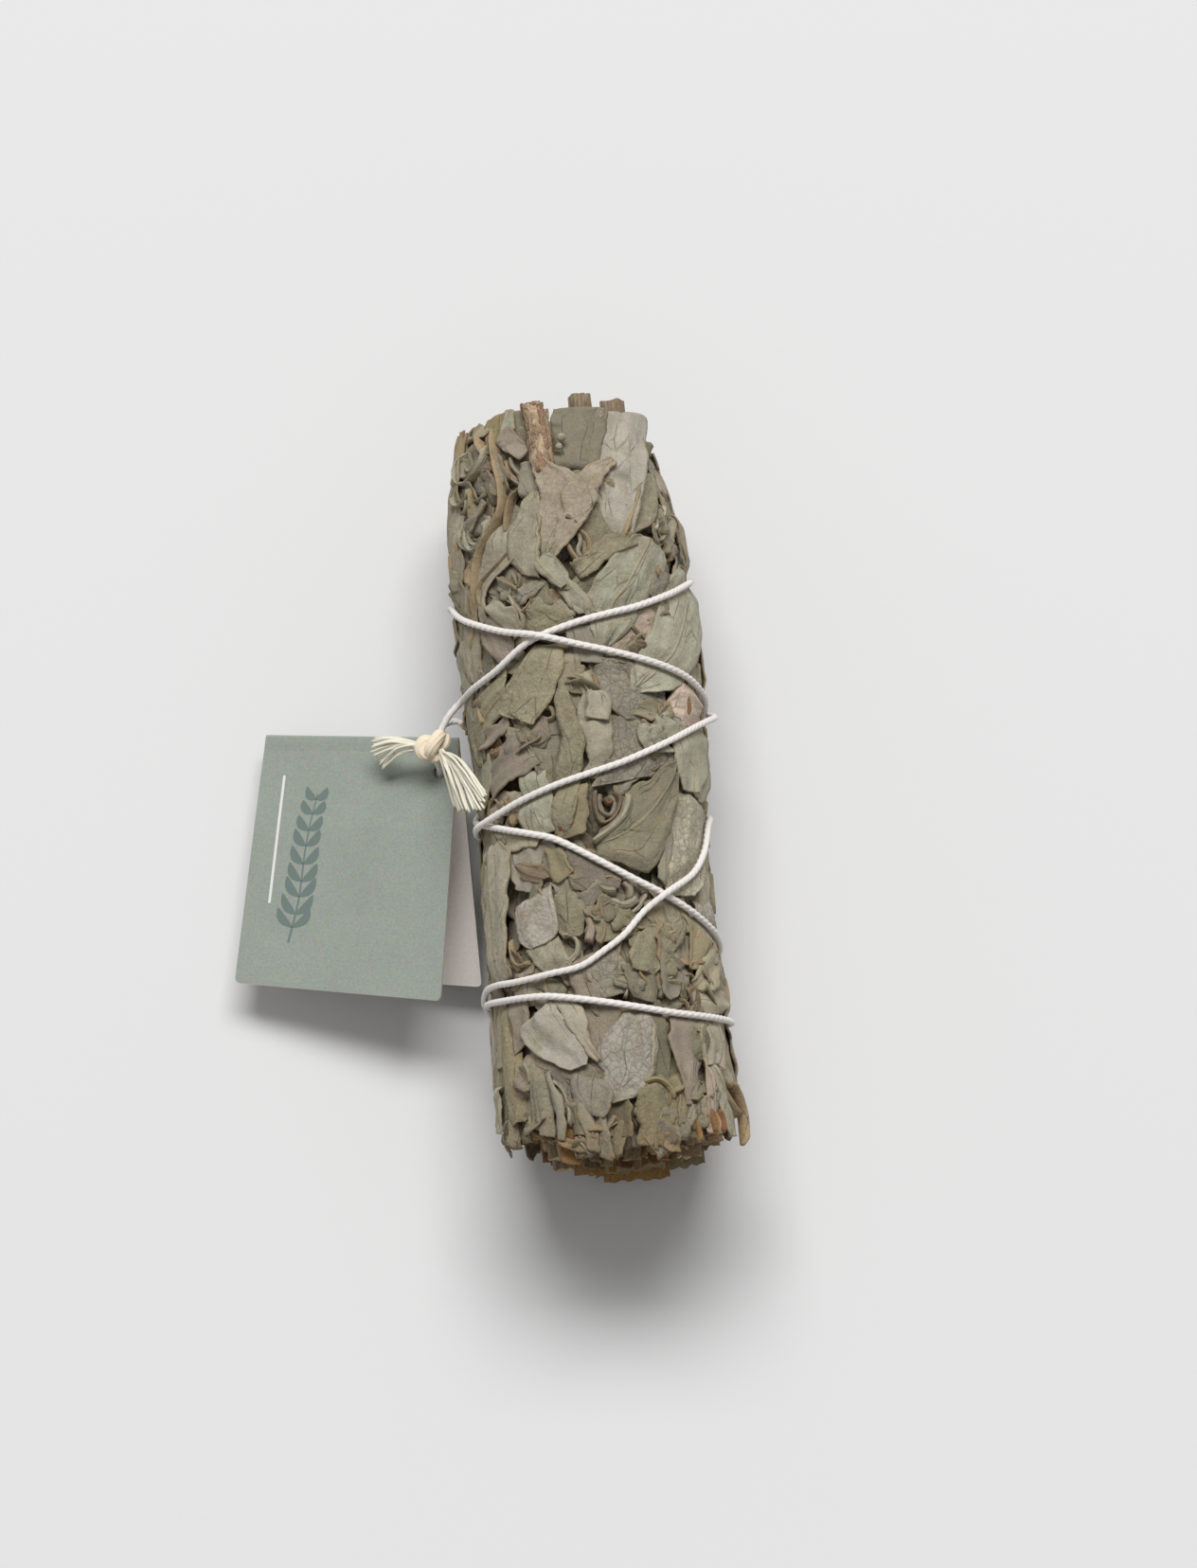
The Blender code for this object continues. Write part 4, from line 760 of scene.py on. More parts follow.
strip("green", (-18, 37.4), (-15.6, 36.9), (-13, 36.6), (-11.4, 37.4), low=-1.8, high=0.5)
leaf("olive", "smooth", (-20.8, 46.6, -18.6, 47.4), (-21.4, 44.6, -20, 45), (-21.2, 41.6, -20, 41.8), lift=0,
     cup=-0.04)
leaf("olive", "smooth", (-20.6, 46, -17.4, 46.6), (-18.6, 47, -14.6, 46), (-15.6, 47.8, -12.4, 46.4), lift=0,
     shade=1.15)
leaf("tan", "smooth", (-20.8, 41, -19.6, 41), (-21.6, 44, -20, 44.2), (-21, 46.6, -19.2, 47), lift=0.4,
     tilt=-0.4)
leaf("green", "smooth", (-25.4, 44.5, -21.2, 45.2), (-25, 40, -20.6, 41), (-24.6, 35, -20, 36), lift=0.1)
strip("mid", (-18.6, 34.2), (-18, 31.6), (-15.6, 30.2), (-12.6, 30.4), low=-1.6, high=0.7)
strip("green", (-16.6, 31.6), (-15, 29.8), (-12.8, 30.6), low=-1.4, high=0.6)
leaf("mauve", "smooth", (-19.8, 38.6, -18.2, 39), (-19.6, 36.2, -17, 36.6), (-20, 33.6, -18.4, 33.8),
     lift=0.1)
leaf("grey", "smooth", (-21.6, 37.8, -18.6, 38), (-21.8, 33, -18.2, 33.2), (-20.6, 28.6, -17.8, 29),
     (-18.6, 25.6, -16.8, 26), lift=0.2, tilt=-0.4, shade=1.15)
leaf("tan", "smooth", (-24.4, 32, -20.6, 32.4), (-24, 29, -19.4, 29.2), (-22.4, 26, -18, 26.4), lift=0.3,
     fold=0.5)
leaf("olive", "smooth", (-19.4, 30.4, -17.2, 30.6), (-18.2, 28.2, -15.8, 29), (-17.4, 26, -14.2, 27.6),
     lift=-0.3)
print(len(SEEN), "leaves and folds so far")

# %% [markdown]
# The string crosses here over leaves and narrow folds that run with the bundle. They are told like the
# others, without any dent of their own: the groove that the string presses in each is worked out when it is
# laid.

# %% Leaves under the string's upper crossing
leaf("mid", "smooth", (-17.4, 26.4, -14.9, 26.2), (-17.9, 22.4, -15.4, 21.8), (-19.9, 19.2, -15.8, 18.6),
     (-19.7, 16, -16, 15.4), (-18.8, 12.8, -17, 12.6), lift=0.6, tilt=-0.3)
leaf("mauve", "smooth", (-21.4, 25, -18, 25.6), (-22, 21, -19, 21.4), (-22.4, 16.6, -19.6, 17),
     (-21.6, 12.6, -19.2, 12.8), lift=0, shade=1.15)
leaf("grey", "smooth", (-16.2, 18, -14.4, 18.6), (-16, 15.6, -14, 16), (-15.6, 13, -14.2, 13.2), lift=0.1,
     shade=0.75)
leaf("mauve", "smooth", (-14.1, 19.4, -12.2, 20.6), (-14, 17.2, -10.2, 18.4), (-12.5, 15.2, -9.7, 16.2),
     (-11.2, 14.1, -9.8, 14.6), lift=0.4)
leaf("light", "smooth", (-12.4, 21.4, -11.5, 22.2), (-11, 19.2, -9.2, 20.6), (-9.6, 17.6, -8, 19.8),
     (-8.8, 16.6, -7.6, 17.4), lift=0.75, cup=0.32)
leaf("olive", "pebbly", (-6.9, 17, -6.2, 20.4), (-5.2, 16.4, -4.4, 20.6), (-3, 16.4, -1.8, 19.2),
     (-1.6, 16.8, -0.8, 17.6), lift=0.55)
strip("mid", (-9.4, 21.8), (-7.8, 20.4), (-7.2, 18.8), (-7.6, 17), low=-1.8, high=0.6)
leaf("grey", "smooth", (-1, 16.8, 2.7, 16.6), (-0.9, 14.6, 2.8, 14.4), (0, 12.8, 1.8, 12.5), lift=0.3)
leaf("pink", "pebbly", (4.9, 13.4, 6, 12.7), (5.4, 16, 8.4, 13.4), (7.2, 18, 10.2, 15.4),
     (10.4, 18.8, 12.2, 17), lift=0.2, fold=0.5)
leaf("olive", "smooth", (8.2, 18.4, 9, 18), (10.4, 20, 11, 19), (13.4, 20.6, 13.4, 19.4), lift=0.5,
     shade=0.75)
leaf("greygreen", "ribbed", (6.3, 8.8, 7.4, 8), (7.2, 12.2, 12, 8.6), (10, 16.2, 16.6, 11),
     (12.2, 20, 20.2, 15), (15.2, 24.2, 23.6, 20), (19.6, 26.6, 23.8, 24.6), lift=0.8, rib=0.5, shade=1.08)
leaf("grey", "net", (1.4, 8.4, 2, 11.4), (4.4, 5.2, 4.8, 11.8), (8.2, 4.9, 7.6, 11), (11.4, 5.6, 11, 8.6),
     lift=0.35)
leaf("pink", "pebbly", (11.5, 5.4, 12, 6.8), (13.6, 4.2, 14, 9.2), (16.8, 4.1, 17.2, 9.6),
     (19.6, 5, 19.6, 8.6), (20.8, 6.4, 20.6, 7.6), lift=0.75, cup=-0.08, shade=1.15)
strip("rust", (14, 9.2), (15.4, 8.2), (15.7, 6.8), (15.1, 5.3), low=0.4, high=1.02)
leaf("greygreen", "smooth", (9.2, 4.2, 9.4, 2.2), (11.2, 5.2, 11.6, 1.9), (13.4, 4.4, 14, 2.4), lift=0.8)
leaf("olive", "smooth", (6.4, 5.2, 7, 6.2), (8.4, 4.6, 8.8, 6.4), (9.6, 5, 10, 5.8), lift=0.5, cup=0.32)
leaf("olive", "pebbly", (-6.1, 15, -2.6, 14.4), (-8.9, 11.8, -2.7, 11.4), (-11.2, 8.8, -4.1, 8),
     (-12.5, 7, -6, 5.6), (-10.2, 5.9, -7.6, 4.4), lift=1.05, cup=0, rib=0.3, shade=1.1)
leaf("olive", "ribbed", (-20.2, 7.2, -19.4, 5.6), (-17.4, 9.4, -16.8, 5.2), (-14.2, 10.7, -14.4, 6.4),
     (-11.2, 12.2, -12, 7.2), lift=0.55, rib=0.55, shade=1.12)
leaf("mauve", "smooth", (-25.5, 4.4, -25.2, 6.2), (-20.4, 4, -19.8, 5.6), (-15.6, 3.6, -15.2, 5.1),
     (-11.6, 5, -11.8, 6.2), lift=0.55, cup=0.24, sink=0.2)
leaf("light", "smooth", (-25, 7.4, -24.6, 9), (-21.6, 7.6, -21, 9), (-18.6, 9, -18.6, 10), lift=0.3,
     shade=1.15)
strip("rust", (-16, 2.4), (-15, 1.9), (-14.1, 2.2), low=0.2, high=1, width=1.2)
strip("rust", (-17.2, 5.9), (-15.4, 5.7), (-13.6, 5.5), low=-0.8, high=0.35)
leaf("rust", "smooth", (-17.8, 2, -17.4, 3), (-15.9, 1.6, -15.6, 2.7), (-14.2, 2.2, -14.2, 2.9), lift=0.35,
     shade=0.65)
leaf("tan", "smooth", (-20, 1.4, -19.6, 6), (-18.6, 1, -18.4, 6.6), (-17.4, 1.6, -17.4, 5.4), lift=0.1)
leaf("green", "crisp", (-10.4, 5.7, -7.6, 5.6), (-9.8, 4, -6.9, 4.2), (-8.8, 2.9, -7, 3), lift=0.45, cup=0.28)
leaf("grey", "smooth", (-8.2, 3.4, -4.6, 4.6), (-7.8, 1.8, -4.2, 2.4), (-6.6, 0.2, -5.2, 0.4), lift=0.2,
     shade=0.85)
strip("lime", (-5.8, 6.6), (-4.8, 6.2), (-4.6, 5), (-5.6, 4.8), low=-0.6, high=0.7)
print(len(SEEN), "leaves and folds so far")

# %% [markdown]
# The leaves in the middle are broad and lie over one another like tiles. The upper ones have more lift than
# those beside them, so that their rims throw small shadows, which a bump could not do.

# %% Leaves in the middle
leaf("mid", "smooth", (-2.7, 13, -0.6, 13.2), (-3, 9.6, -1, 9.8), (-2.9, 6.6, -1.4, 6.4),
     (-2.6, 4.2, -1.6, 4.2), lift=0.5)
leaf("light", "smooth", (-0.6, 10.4, 0.9, 10.6), (-0.6, 7.2, 0.3, 7.4), (-1.6, 4.4, -0.4, 4.4), lift=0.75,
     shade=1.12)
leaf("olive", "pebbly", (-3.9, 8.6, -2.8, 9), (-4.1, 5.4, -1.8, 5.8), (-4, 2, -0.9, 2.2),
     (-4.5, -1.6, -1.2, -1.2), (-5, -5, -1.9, -4.8), (-5.4, -8.6, -2.6, -8.8), (-5.3, -11, -4.2, -11.2),
     lift=1.25, cup=-0.08, rib=0.8)
leaf("lime", "smooth", (-1.7, -4.4, -0.9, -4.2), (-2.5, -7.8, -1, -7.6), (-3.8, -11, -1.4, -10.6), lift=0.8,
     cup=-0.04)
leaf("rust", "smooth", (-5.2, -10, -3.8, -9.4), (-5.4, -11.1, -3.6, -11), lift=0.75, sink=0)
leaf("grey", "net", (2.7, 4.9, 6.6, 4.8), (2.7, 2.2, 7, 2), (2.4, -0.8, 9.8, 0.4), (1.6, -3.2, 12.4, -0.4),
     (1, -4.2, 9.4, -2.8), lift=0.3)
leaf("cream", "smooth", (-1.5, 4.2, 2.8, 4.7), (-0.9, 2, 2.7, 2.4), (-0.5, -0.8, 2.5, -0.6),
     (-1.1, -3.2, 0.8, -3.6), lift=1, cup=0.12, shade=0.93)
leaf("cream", "smooth", (0.3, 8, 2.2, 7.9), (0, 6.2, 2.8, 6.2), (-0.3, 4.3, 2.6, 3.8), lift=1.2, cup=0.2)
leaf("mauve", "smooth", (-17.6, 0.8, -17.4, -4), (-14.4, 2.3, -13.6, -2.8), (-10.6, 3, -10.2, -1.5),
     (-8.6, 1.6, -7.6, -0.5), lift=0.7, cup=0.16)
leaf("cream", "smooth", (-18.6, -4.2, -18.4, -5.8), (-14.2, -4.2, -14.2, -5.9), (-10.6, -4.4, -10.4, -6),
     lift=0.3, sink=0.3)
leaf("greygreen", "smooth", (-10.1, -1.8, -7.2, -1.8), (-9.9, -4.8, -6.2, -4.4), (-10.6, -7.8, -5.4, -7.2),
     (-8.6, -10.2, -5.6, -9.6), lift=0.6)
leaf("green", "smooth", (-7.4, 0.4, -5.6, 0.2), (-6.8, -2.2, -4.6, -2.2), (-6.2, -4.4, -4.9, -4.4), lift=0.2)
leaf("mid", "smooth", (-17.4, -8.4, -16.4, -10.4), (-13.6, -8.8, -13.2, -11.2), (-9.6, -9.8, -9.8, -11.3),
     (-8.2, -10.6, -8.4, -11.2), lift=0.7, cup=0.08, shade=1.2)
leaf("greygreen", "smooth", (12.8, 4.2, 19.8, 4.8), (12.5, 1.2, 20.8, 1.6), (12.9, -2, 20, -1.8),
     (14.4, -4.5, 17, -4.5), lift=0.8)
leaf("brown", "smooth", (11.6, -2.4, 13, -2.2), (11.8, -5, 13, -5.2), (12, -7.6, 13.2, -7.8), lift=-0.3)
strip("rust", (11.9, -7.6), (12.8, -6.6), (14, -6.4), low=-0.6, high=0.4)
leaf("green", "ribbed", (0.2, -11.2, 0.2, -14), (3.2, -8.8, 3.2, -15), (5, -5.4, 7.2, -15.9),
     (8.2, -3.8, 10, -11.6), (11.2, -1.4, 11.9, -7), (12.2, -0.9, 12.4, -3.4), lift=0.95, cup=0.04, rib=0.42)
strip("greygreen", (-0.2, -12), (2.3, -10.3), (4.1, -8.4), (4.8, -5.8), low=0.2, high=1.35, width=0.9)
strip("brown", (0.4, -4.4), (0.2, -7), (1, -9.4), (2.8, -8.8), (3.8, -6.6), (2.8, -5), low=-2.2, high=0.5)
strip("grey", (1, -5.2), (1, -7.6), (2.4, -8.4), (3, -7), (2.2, -5.6), low=-2.2, high=0)
strip("rust", (1.6, -6), (2.2, -6.9), (2.8, -6.2), low=-1.6, high=0.2)
leaf("light", "smooth", (10.7, -8.2, 11.7, -8.4), (9.7, -12, 11, -12.2), (8.5, -16.8, 9.9, -17.6), lift=0.8,
     cup=-0.04, shade=0.92)
leaf("light", "net", (13.6, -5, 18.6, -5.4), (12, -9, 20.8, -8.6), (11.1, -12.6, 20, -12.2),
     (10.5, -16.2, 18.6, -15.6), (10.2, -19, 14.6, -18.8), lift=0.85, cup=-0.04, shade=1.18)
leaf("light", "ribbed", (-19.8, -10, -16.2, -9.4), (-20.9, -13.2, -12.7, -12), (-20.9, -17, -13.2, -16.8),
     (-20.6, -22, -14.2, -21.8), (-19.8, -28.4, -14.8, -28), lift=0.9, rib=0.35)
leaf("grey", "smooth", (-12.4, -11.2, -7.4, -10.9), (-12.6, -13.4, -5.8, -13), (-12, -15.2, -6.2, -16),
     (-11, -16.6, -8.4, -17.4), lift=0.4, fold=0.4)
leaf("brown", "smooth", (-12.2, -14, -10.8, -13.6), (-10.8, -15.4, -8.2, -14.6), (-8, -16.2, -6.6, -15.8),
     lift=0.62, cup=0.08, sink=0.1)
leaf("silver", "pebbly", (-12.4, -19, -6.4, -17), (-12.6, -21.6, -6, -20), (-12, -24, -5.9, -23.4),
     (-10.2, -25, -8.2, -24.6), lift=0.95, cup=0.18)
leaf("olive", "crisp", (-5.9, -18.5, -3, -18.3), (-6, -20.6, -2.3, -20.4), (-5.6, -22.8, -2.6, -23.2),
     (-4.8, -24, -3.4, -23.9), lift=0.7, shade=0.88)
leaf("lime", "smooth", (-6.2, -12.4, -4.8, -12.6), (-5.9, -14.6, -4.2, -14.2), (-5.2, -16.4, -3.8, -15.6),
     lift=0.5, cup=0.32)
leaf("mid", "smooth", (-5.6, -16.4, -3.8, -16), (-5.4, -18, -3.6, -17.8), lift=0.3)
leaf("mauve", "crisp", (-3.9, -13.2, -3.4, -16.8), (-1, -13.6, -1.6, -17.8), (3.2, -15.2, 2.4, -17.6),
     lift=0.35, shade=0.75)
leaf("greygreen", "crisp", (7, 3.8, 9.4, 3.6), (6.4, 1.8, 11.2, 1.4), (7.8, 0, 11.8, 0.2), lift=0.9, tilt=0.6,
     fold=0.6, shade=1.1)
strip("mauve", (-3.4, -16.5), (-2.6, -19), (-2.9, -22), low=-1.5, high=0.4, width=1.3, shade=0.9)
strip("mid", (-0.6, -17), (0.9, -18.4), (2.6, -18.6), low=-1.4, high=0.8, width=1.3)
strip("light", (1.4, -19.8), (3.4, -20.6), (5.4, -19.6), low=-1.4, high=0.9, width=1.3)
strip("pink", (-1.9, -21.2), (-1.4, -23.2), (-2.1, -25.2), low=-1.4, high=0.6, width=1.5, shade=0.85)
strip("mauve", (3.6, -17.2), (4.4, -18.4), (4.2, -20), low=-1.4, high=0.9, width=1.1)
strip("brown", (-3, -23), (-1.6, -21.2), (-0.2, -19.8), (1.6, -18), low=-2.2, high=0)
strip("light", (-0.6, -22.4), (2, -22.2), (5, -21.2), (7.2, -18.6), low=-1.8, high=0.5)
strip("mid", (4.2, -17.6), (4.6, -19.4), (5.8, -20.4), low=-1.8, high=0.4)
strip("rust", (-2.4, -20.6), (-0.4, -19.2), (1.2, -18.6), low=-1.8, high=-0.2)
strip("mauve", (-2.6, -24.4), (-1.4, -22.4), (0.6, -20.4), (3.2, -19.6), low=-2, high=0.2)
leaf("olive", "crisp", (0.2, -21.8, 3.4, -21.6), (-0.2, -23.2, 5, -22.8), (0.6, -24.6, 3, -24.4), lift=0.3,
     cup=0.28)
leaf("olive", "pebbly", (7.2, -20.2, 12.2, -19.4), (7, -22, 13.4, -21.4), (8.4, -23.6, 12.6, -23.4), lift=0.4)
leaf("light", "smooth", (16.6, -10, 20.6, -9), (17, -14.6, 21.6, -13.6), (17.4, -19, 21.4, -18.6),
     (18, -23.6, 20.4, -23.6), lift=0.4)
leaf("silver", "net", (16.2, -19.4, 19.4, -19), (15.8, -22, 20.8, -21.6), (16.2, -25, 20.4, -25),
     (17, -27.2, 18.8, -27.2), lift=0.75)
print(len(SEEN), "leaves and folds so far")

# %% [markdown]
# Towards the near cut the leaves are drier and browner, and they end ragged. They stand up more, so their
# lift and cup are larger, and some of their tips reach past the others over the cut.

# %% Leaves between the lower strings and the near end
leaf("olive", "pebbly", (6.4, -23.4, 11.8, -22), (4.4, -25.2, 11.2, -25.2), (3.4, -27.4, 8.4, -27.6),
     (3.8, -29, 6, -29.6), lift=0.8, fold=0.45)
leaf("lime", "smooth", (13, -21.4, 16.4, -22.2), (13.4, -25, 15.8, -25.2), (12.2, -28.6, 13.8, -28.6),
     lift=0.7, cup=0.28)
leaf("mid", "smooth", (11, -22.6, 13.2, -22.8), (10.6, -25.6, 12.8, -25.8), (11, -28.8, 12.4, -28.8),
     lift=0.2)
leaf("olive", "smooth", (12.7, -30.6, 13.6, -31.6), (14, -28, 16.4, -31.2), (17, -26, 19.8, -29.6),
     (20.6, -25.6, 22, -27.4), lift=0.85, shade=1.25)
leaf("mid", "smooth", (12.8, -31.9, 12.9, -34.2), (15.6, -31.4, 16.2, -34.6), (19.6, -31.2, 20.4, -33.4),
     (22.8, -31, 23.2, -32.6), lift=0.8, shade=1.2)
leaf("grey", "smooth", (8.4, -26.6, 11.8, -27), (7.4, -29.2, 11.3, -29.6), (7.4, -31.6, 10.9, -31.2),
     (8.4, -32.6, 9.8, -32), lift=0.5, cup=0.2, shade=0.85)
leaf("grey", "net", (-2.4, -27.6, 1, -26.6), (-1.8, -30, 2.6, -29.4), (-0.8, -32.2, 3.2, -31.2), lift=0.4)
leaf("mid", "crisp", (2.6, -28.6, 4.8, -28.4), (3, -30.4, 5.8, -30), (3.4, -32.4, 5.4, -33), lift=0.5,
     cup=0.24, shade=0.72)
leaf("mauve", "smooth", (-4.5, -27.8, -2, -27.2), (-4.5, -30, -1.6, -29.8), (-3.8, -32.4, -1.8, -32.2),
     lift=0.3)
strip("green", (5.2, -29.4), (6.4, -31.4), (6, -33.6), (6.8, -35), low=-1.4, high=0.5)
strip("mid", (6.8, -29), (7.4, -31), (7, -33), low=-1.4, high=0.4)
strip("cream", (-5.9, -24.3), (-4.6, -23.9), (-3.5, -24.8), (-3.6, -26.4), (-4.8, -27.4), (-5.8, -27),
      low=-1.4, high=0.95)
leaf("light", "crisp", (-10.7, -25, -6.4, -24.2), (-9.6, -26.8, -5.2, -26.6), (-8.2, -28.2, -5, -28.2),
     lift=0.55)
strip("tan", (-14.5, -22.8), (-14.1, -25.6), (-12.8, -26.8), (-10.8, -26.6), low=-1.2, high=0.7)
strip("rust", (-13.9, -23.6), (-13.5, -25.4), low=-1.2, high=0)
leaf("mid", "smooth", (-13.2, -28.2, -9.2, -27.8), (-13.8, -30, -9.6, -30), (-13, -31.6, -9.4, -31.6),
     lift=0.1)
leaf("lime", "pebbly", (-17, -31.6, -15.4, -31.4), (-18.5, -35, -15.5, -34.8), (-19.4, -39, -14.6, -38.4),
     (-18.6, -43, -14, -42.6), (-17.6, -46.2, -13.6, -45.6), (-16.6, -47.4, -14.4, -47), lift=1, cup=-1,
     rib=0.35)
leaf("mauve", "smooth", (-15.3, -31, -12.2, -31.2), (-15.3, -34.2, -12.5, -34), (-14.9, -37.6, -13.2, -36.6),
     lift=0.5)
leaf("mauve", "smooth", (-3.8, -32.8, 0, -33.8), (-3.6, -35.8, 0.3, -35.8), (-3.4, -39, -0.6, -39.2),
     (-2.4, -42.4, -1.2, -42.2), lift=0.15)
leaf("mauve", "crisp", (-12.4, -38.4, -12.2, -39.8), (-8.6, -39.8, -9, -42.4), (-5, -41, -6.8, -44.8),
     (-2.6, -42.8, -4.4, -46), lift=0.5, shade=0.8)
leaf("grey", "crisp", (-5.6, -42, -1.6, -43.4), (-6.4, -44.2, -1, -45.4), (-5.2, -46.4, -1.6, -47.2),
     (-3.8, -47.8, -2.4, -48.2), lift=0.95, fold=0.6)
leaf("silver", "smooth", (-12.4, -34.4, -8.2, -32.2), (-13.2, -36.2, -6.4, -34.4),
     (-10.8, -38.8, -4.8, -37.2), (-7.8, -40.7, -3.6, -39.6), (-5.6, -41.6, -3.8, -41.2), lift=0.95, cup=0.16)
leaf("cream", "smooth", (-7.8, -32, -4.6, -32.2), (-6, -34.8, -3.3, -34.4), (-4.6, -37.6, -3.2, -37.4),
     (-2.4, -41, -1.9, -40.8), lift=1.25, cup=0.08)
leaf("silver", "netrib", (2.2, -34.6, 5, -34.8), (-0.7, -37, 5.6, -36.8), (-2, -39.8, 5.3, -39.6),
     (-1.5, -42.6, 4.5, -42.4), (-2.1, -45, 2.8, -45), (-1.4, -46.5, 1.4, -46), lift=0.95, cup=0.06, rib=0.93,
     shade=0.89)
leaf("green", "smooth", (5.4, -35.2, 6.3, -35.2), (5.3, -39, 6.5, -39), (4.4, -43.6, 6.6, -44), lift=0.4,
     shade=0.72)
leaf("lime", "smooth", (6.8, -39.4, 8, -39.6), (6.8, -42.2, 8.6, -42.4), (7.2, -45, 8.8, -45.4), lift=0.4,
     shade=0.82)
leaf("mauve", "smooth", (8.2, -35.4, 11.6, -35.6), (7.1, -38.2, 12.8, -38.6), (7.5, -40.8, 11.6, -41.6),
     (8.5, -44.6, 10.2, -44.8), (8.8, -46.8, 9.8, -46.6), lift=0.85, cup=0)
leaf("light", "smooth", (12.2, -35.6, 17, -35.4), (12.6, -38.8, 17, -38.4), (13.2, -41.2, 15.6, -40.8),
     lift=0.6)
leaf("pink", "smooth", (16.8, -35.6, 19.2, -35.8), (16.8, -38.4, 19, -38.6), (16.2, -40.6, 17.8, -40.8),
     lift=0.2, shade=1.15)
leaf("pink", "ribbed", (12.8, -41, 13.3, -41.2), (11.9, -44.6, 14.2, -44.8), (11.2, -47.8, 14.6, -48.2),
     (11.8, -50.4, 13.8, -50.4), lift=0.8, cup=0.2, shade=1.2)
leaf("greygreen", "ribbed", (13.5, -41.2, 14, -41), (14.3, -44.6, 16.8, -44.4), (15.2, -48, 18.2, -47.6),
     (16.4, -50.6, 18, -50.2), lift=0.7, shade=1.12)
strip("rust", (12.7, -47.2), (12.3, -48.8), (12.9, -50.6), low=-0.6, high=1.3, width=1.2, shade=1.5)
strip("rust", (14.2, -47.2), (14.9, -48.8), (14.4, -50.5), low=-0.6, high=1.2, width=1.3, shade=1.4)
strip("orange", (13.3, -47.8), (13.6, -49.4), (13.5, -51), low=-0.8, high=1.1, width=1)
strip("tan", (15.4, -42), (16.6, -44.2), (19.4, -46.4), (23.6, -47), low=-0.8, high=0.8)
strip("tan", (15.6, -42.4), (18.6, -43.6), (23.6, -43.2), low=-0.8, high=0.7)
leaf("mid", "crisp", (-14, -39.2, -12.3, -38.8), (-13.4, -42.6, -10.6, -41.4), (-13.6, -45.6, -11.2, -45.4),
     (-13.4, -47.2, -11.8, -47.6), lift=0.5, cup=-0.3)
leaf("light", "crisp", (-10.9, -41.6, -9.8, -41.6), (-11.2, -45, -9.2, -45.2), (-10.6, -49.4, -9.2, -49.8),
     lift=0.8, tilt=-0.7, cup=-0.3, shade=0.8)
leaf("light", "smooth", (-9.7, -41.4, -9.2, -41.4), (-9, -44.4, -7.8, -44.2), (-8.2, -47.2, -7, -47),
     (-8.2, -50.4, -7.4, -50.6), lift=0.9, tilt=0.8, cup=-0.12, shade=0.95)
strip("light", (-9.2, -42.4), (-7.4, -44), (-6.7, -46.6), (-6.8, -49.2), low=-2, high=0.7)
leaf("lime", "pebbly", (2.8, -44.2, 6.4, -43.8), (2.1, -45.9, 6.9, -45.6), (1.7, -48, 7.2, -47.6),
     (2.1, -50, 6.5, -50.2), (1.7, -52, 5.9, -52.4), lift=0.9, cup=-0.5, fold=0.7, ragged=0.8)
strip("yellow", (3, -44), (4.8, -43.7), (6.2, -44.6), (7, -46.4), low=0.2, high=1.3)
leaf("lime", "smooth", (6.5, -43.4, 8.2, -43), (7.3, -46, 9, -45.4), (7.2, -49, 8.6, -49.2), lift=0.7,
     cup=-0.2)
strip("yellow", (8, -43), (8.8, -44.6), (8.9, -46.8), low=0, high=1)
leaf("brown", "crisp", (-8, -43.6, -3.2, -44.4), (-7, -46, -2.2, -46.6), (-6, -48, -2, -48.6), lift=0.2)
leaf("olive", "crisp", (-6.6, -44.4, -5, -44.6), (-6.3, -47.4, -4.9, -47.8), (-6.2, -49.8, -4.9, -50),
     lift=0.7, tilt=1.2, cup=-0.3)
leaf("mid", "smooth", (-5, -45.6, -3.6, -45.8), (-4.7, -49, -3.2, -49.4), (-4.2, -52.2, -3.2, -52.6),
     lift=0.9, tilt=-0.5)
leaf("light", "crisp", (-3.7, -47, -2.3, -47.2), (-3.2, -50.4, -2, -50.6), (-2.7, -53.2, -1.9, -53.6),
     lift=0.7, tilt=1.1)
leaf("brown", "crisp", (-1.6, -45.6, 0.6, -46), (-1.4, -47.6, 0.5, -47.8), (-1.2, -50.2, 0.2, -50.4),
     lift=0.4, tilt=0.9, cup=0.4)
leaf("green", "smooth", (-21.8, -38, -18.8, -38), (-21.4, -42, -18.2, -42.2), (-20.8, -46.4, -17.8, -46.6),
     lift=0.4)
leaf("mid", "smooth", (-22.6, -30.4, -17.6, -30.6), (-23.4, -34, -18.6, -34.2), (-22.8, -38.4, -19.6, -38.6),
     lift=0.3)
# Its shade of 0.6 is painted shadow, for the dark gap where it lies.
leaf("olive", "smooth", (-20.4, -44, -18.4, -44.4), (-20.2, -45.4, -17.8, -45.6),
     (-19.6, -46.4, -17.6, -46.8), lift=-0.3, tilt=0.6, shade=0.6)
leaf("lime", "smooth", (-17.6, -45.4, -15.6, -45.8), (-17.6, -46.8, -15.2, -47.4), (-17.2, -48, -15, -48.6),
     lift=-0.3, tilt=0.6)
leaf("olive", "crisp", (9, -44.8, 12.2, -45), (9.2, -47.6, 12, -47.8), (9.8, -50.4, 11.4, -50.6), lift=0.2,
     cup=-0.4, fold=0.6, shade=0.75)
leaf("greygreen", "crisp", (-21, -41.6, -19.6, -41.8), (-22, -44.6, -19.2, -44.8), (-22, -47.4, -19.4, -48),
     lift=1.4, cup=-0.5)
strip("tan", (18.6, -43), (21, -45), (22.9, -47.6), (22.6, -51.2), low=-0.3, high=1.3, width=0.6, shade=1.1)
strip("orange", (9.2, -48.4), (10.4, -50), (10.8, -51.8), low=-0.8, high=0.7, width=0.9)
leaf("orange", "crisp", (-8.2, -49, -7, -49.2), (-8.4, -51.2, -7, -51.6), (-8, -52.4, -7.2, -52.6), lift=-0.1,
     cup=-0.5, shade=0.85)
print(len(SEEN), "leaves and folds placed by hand")

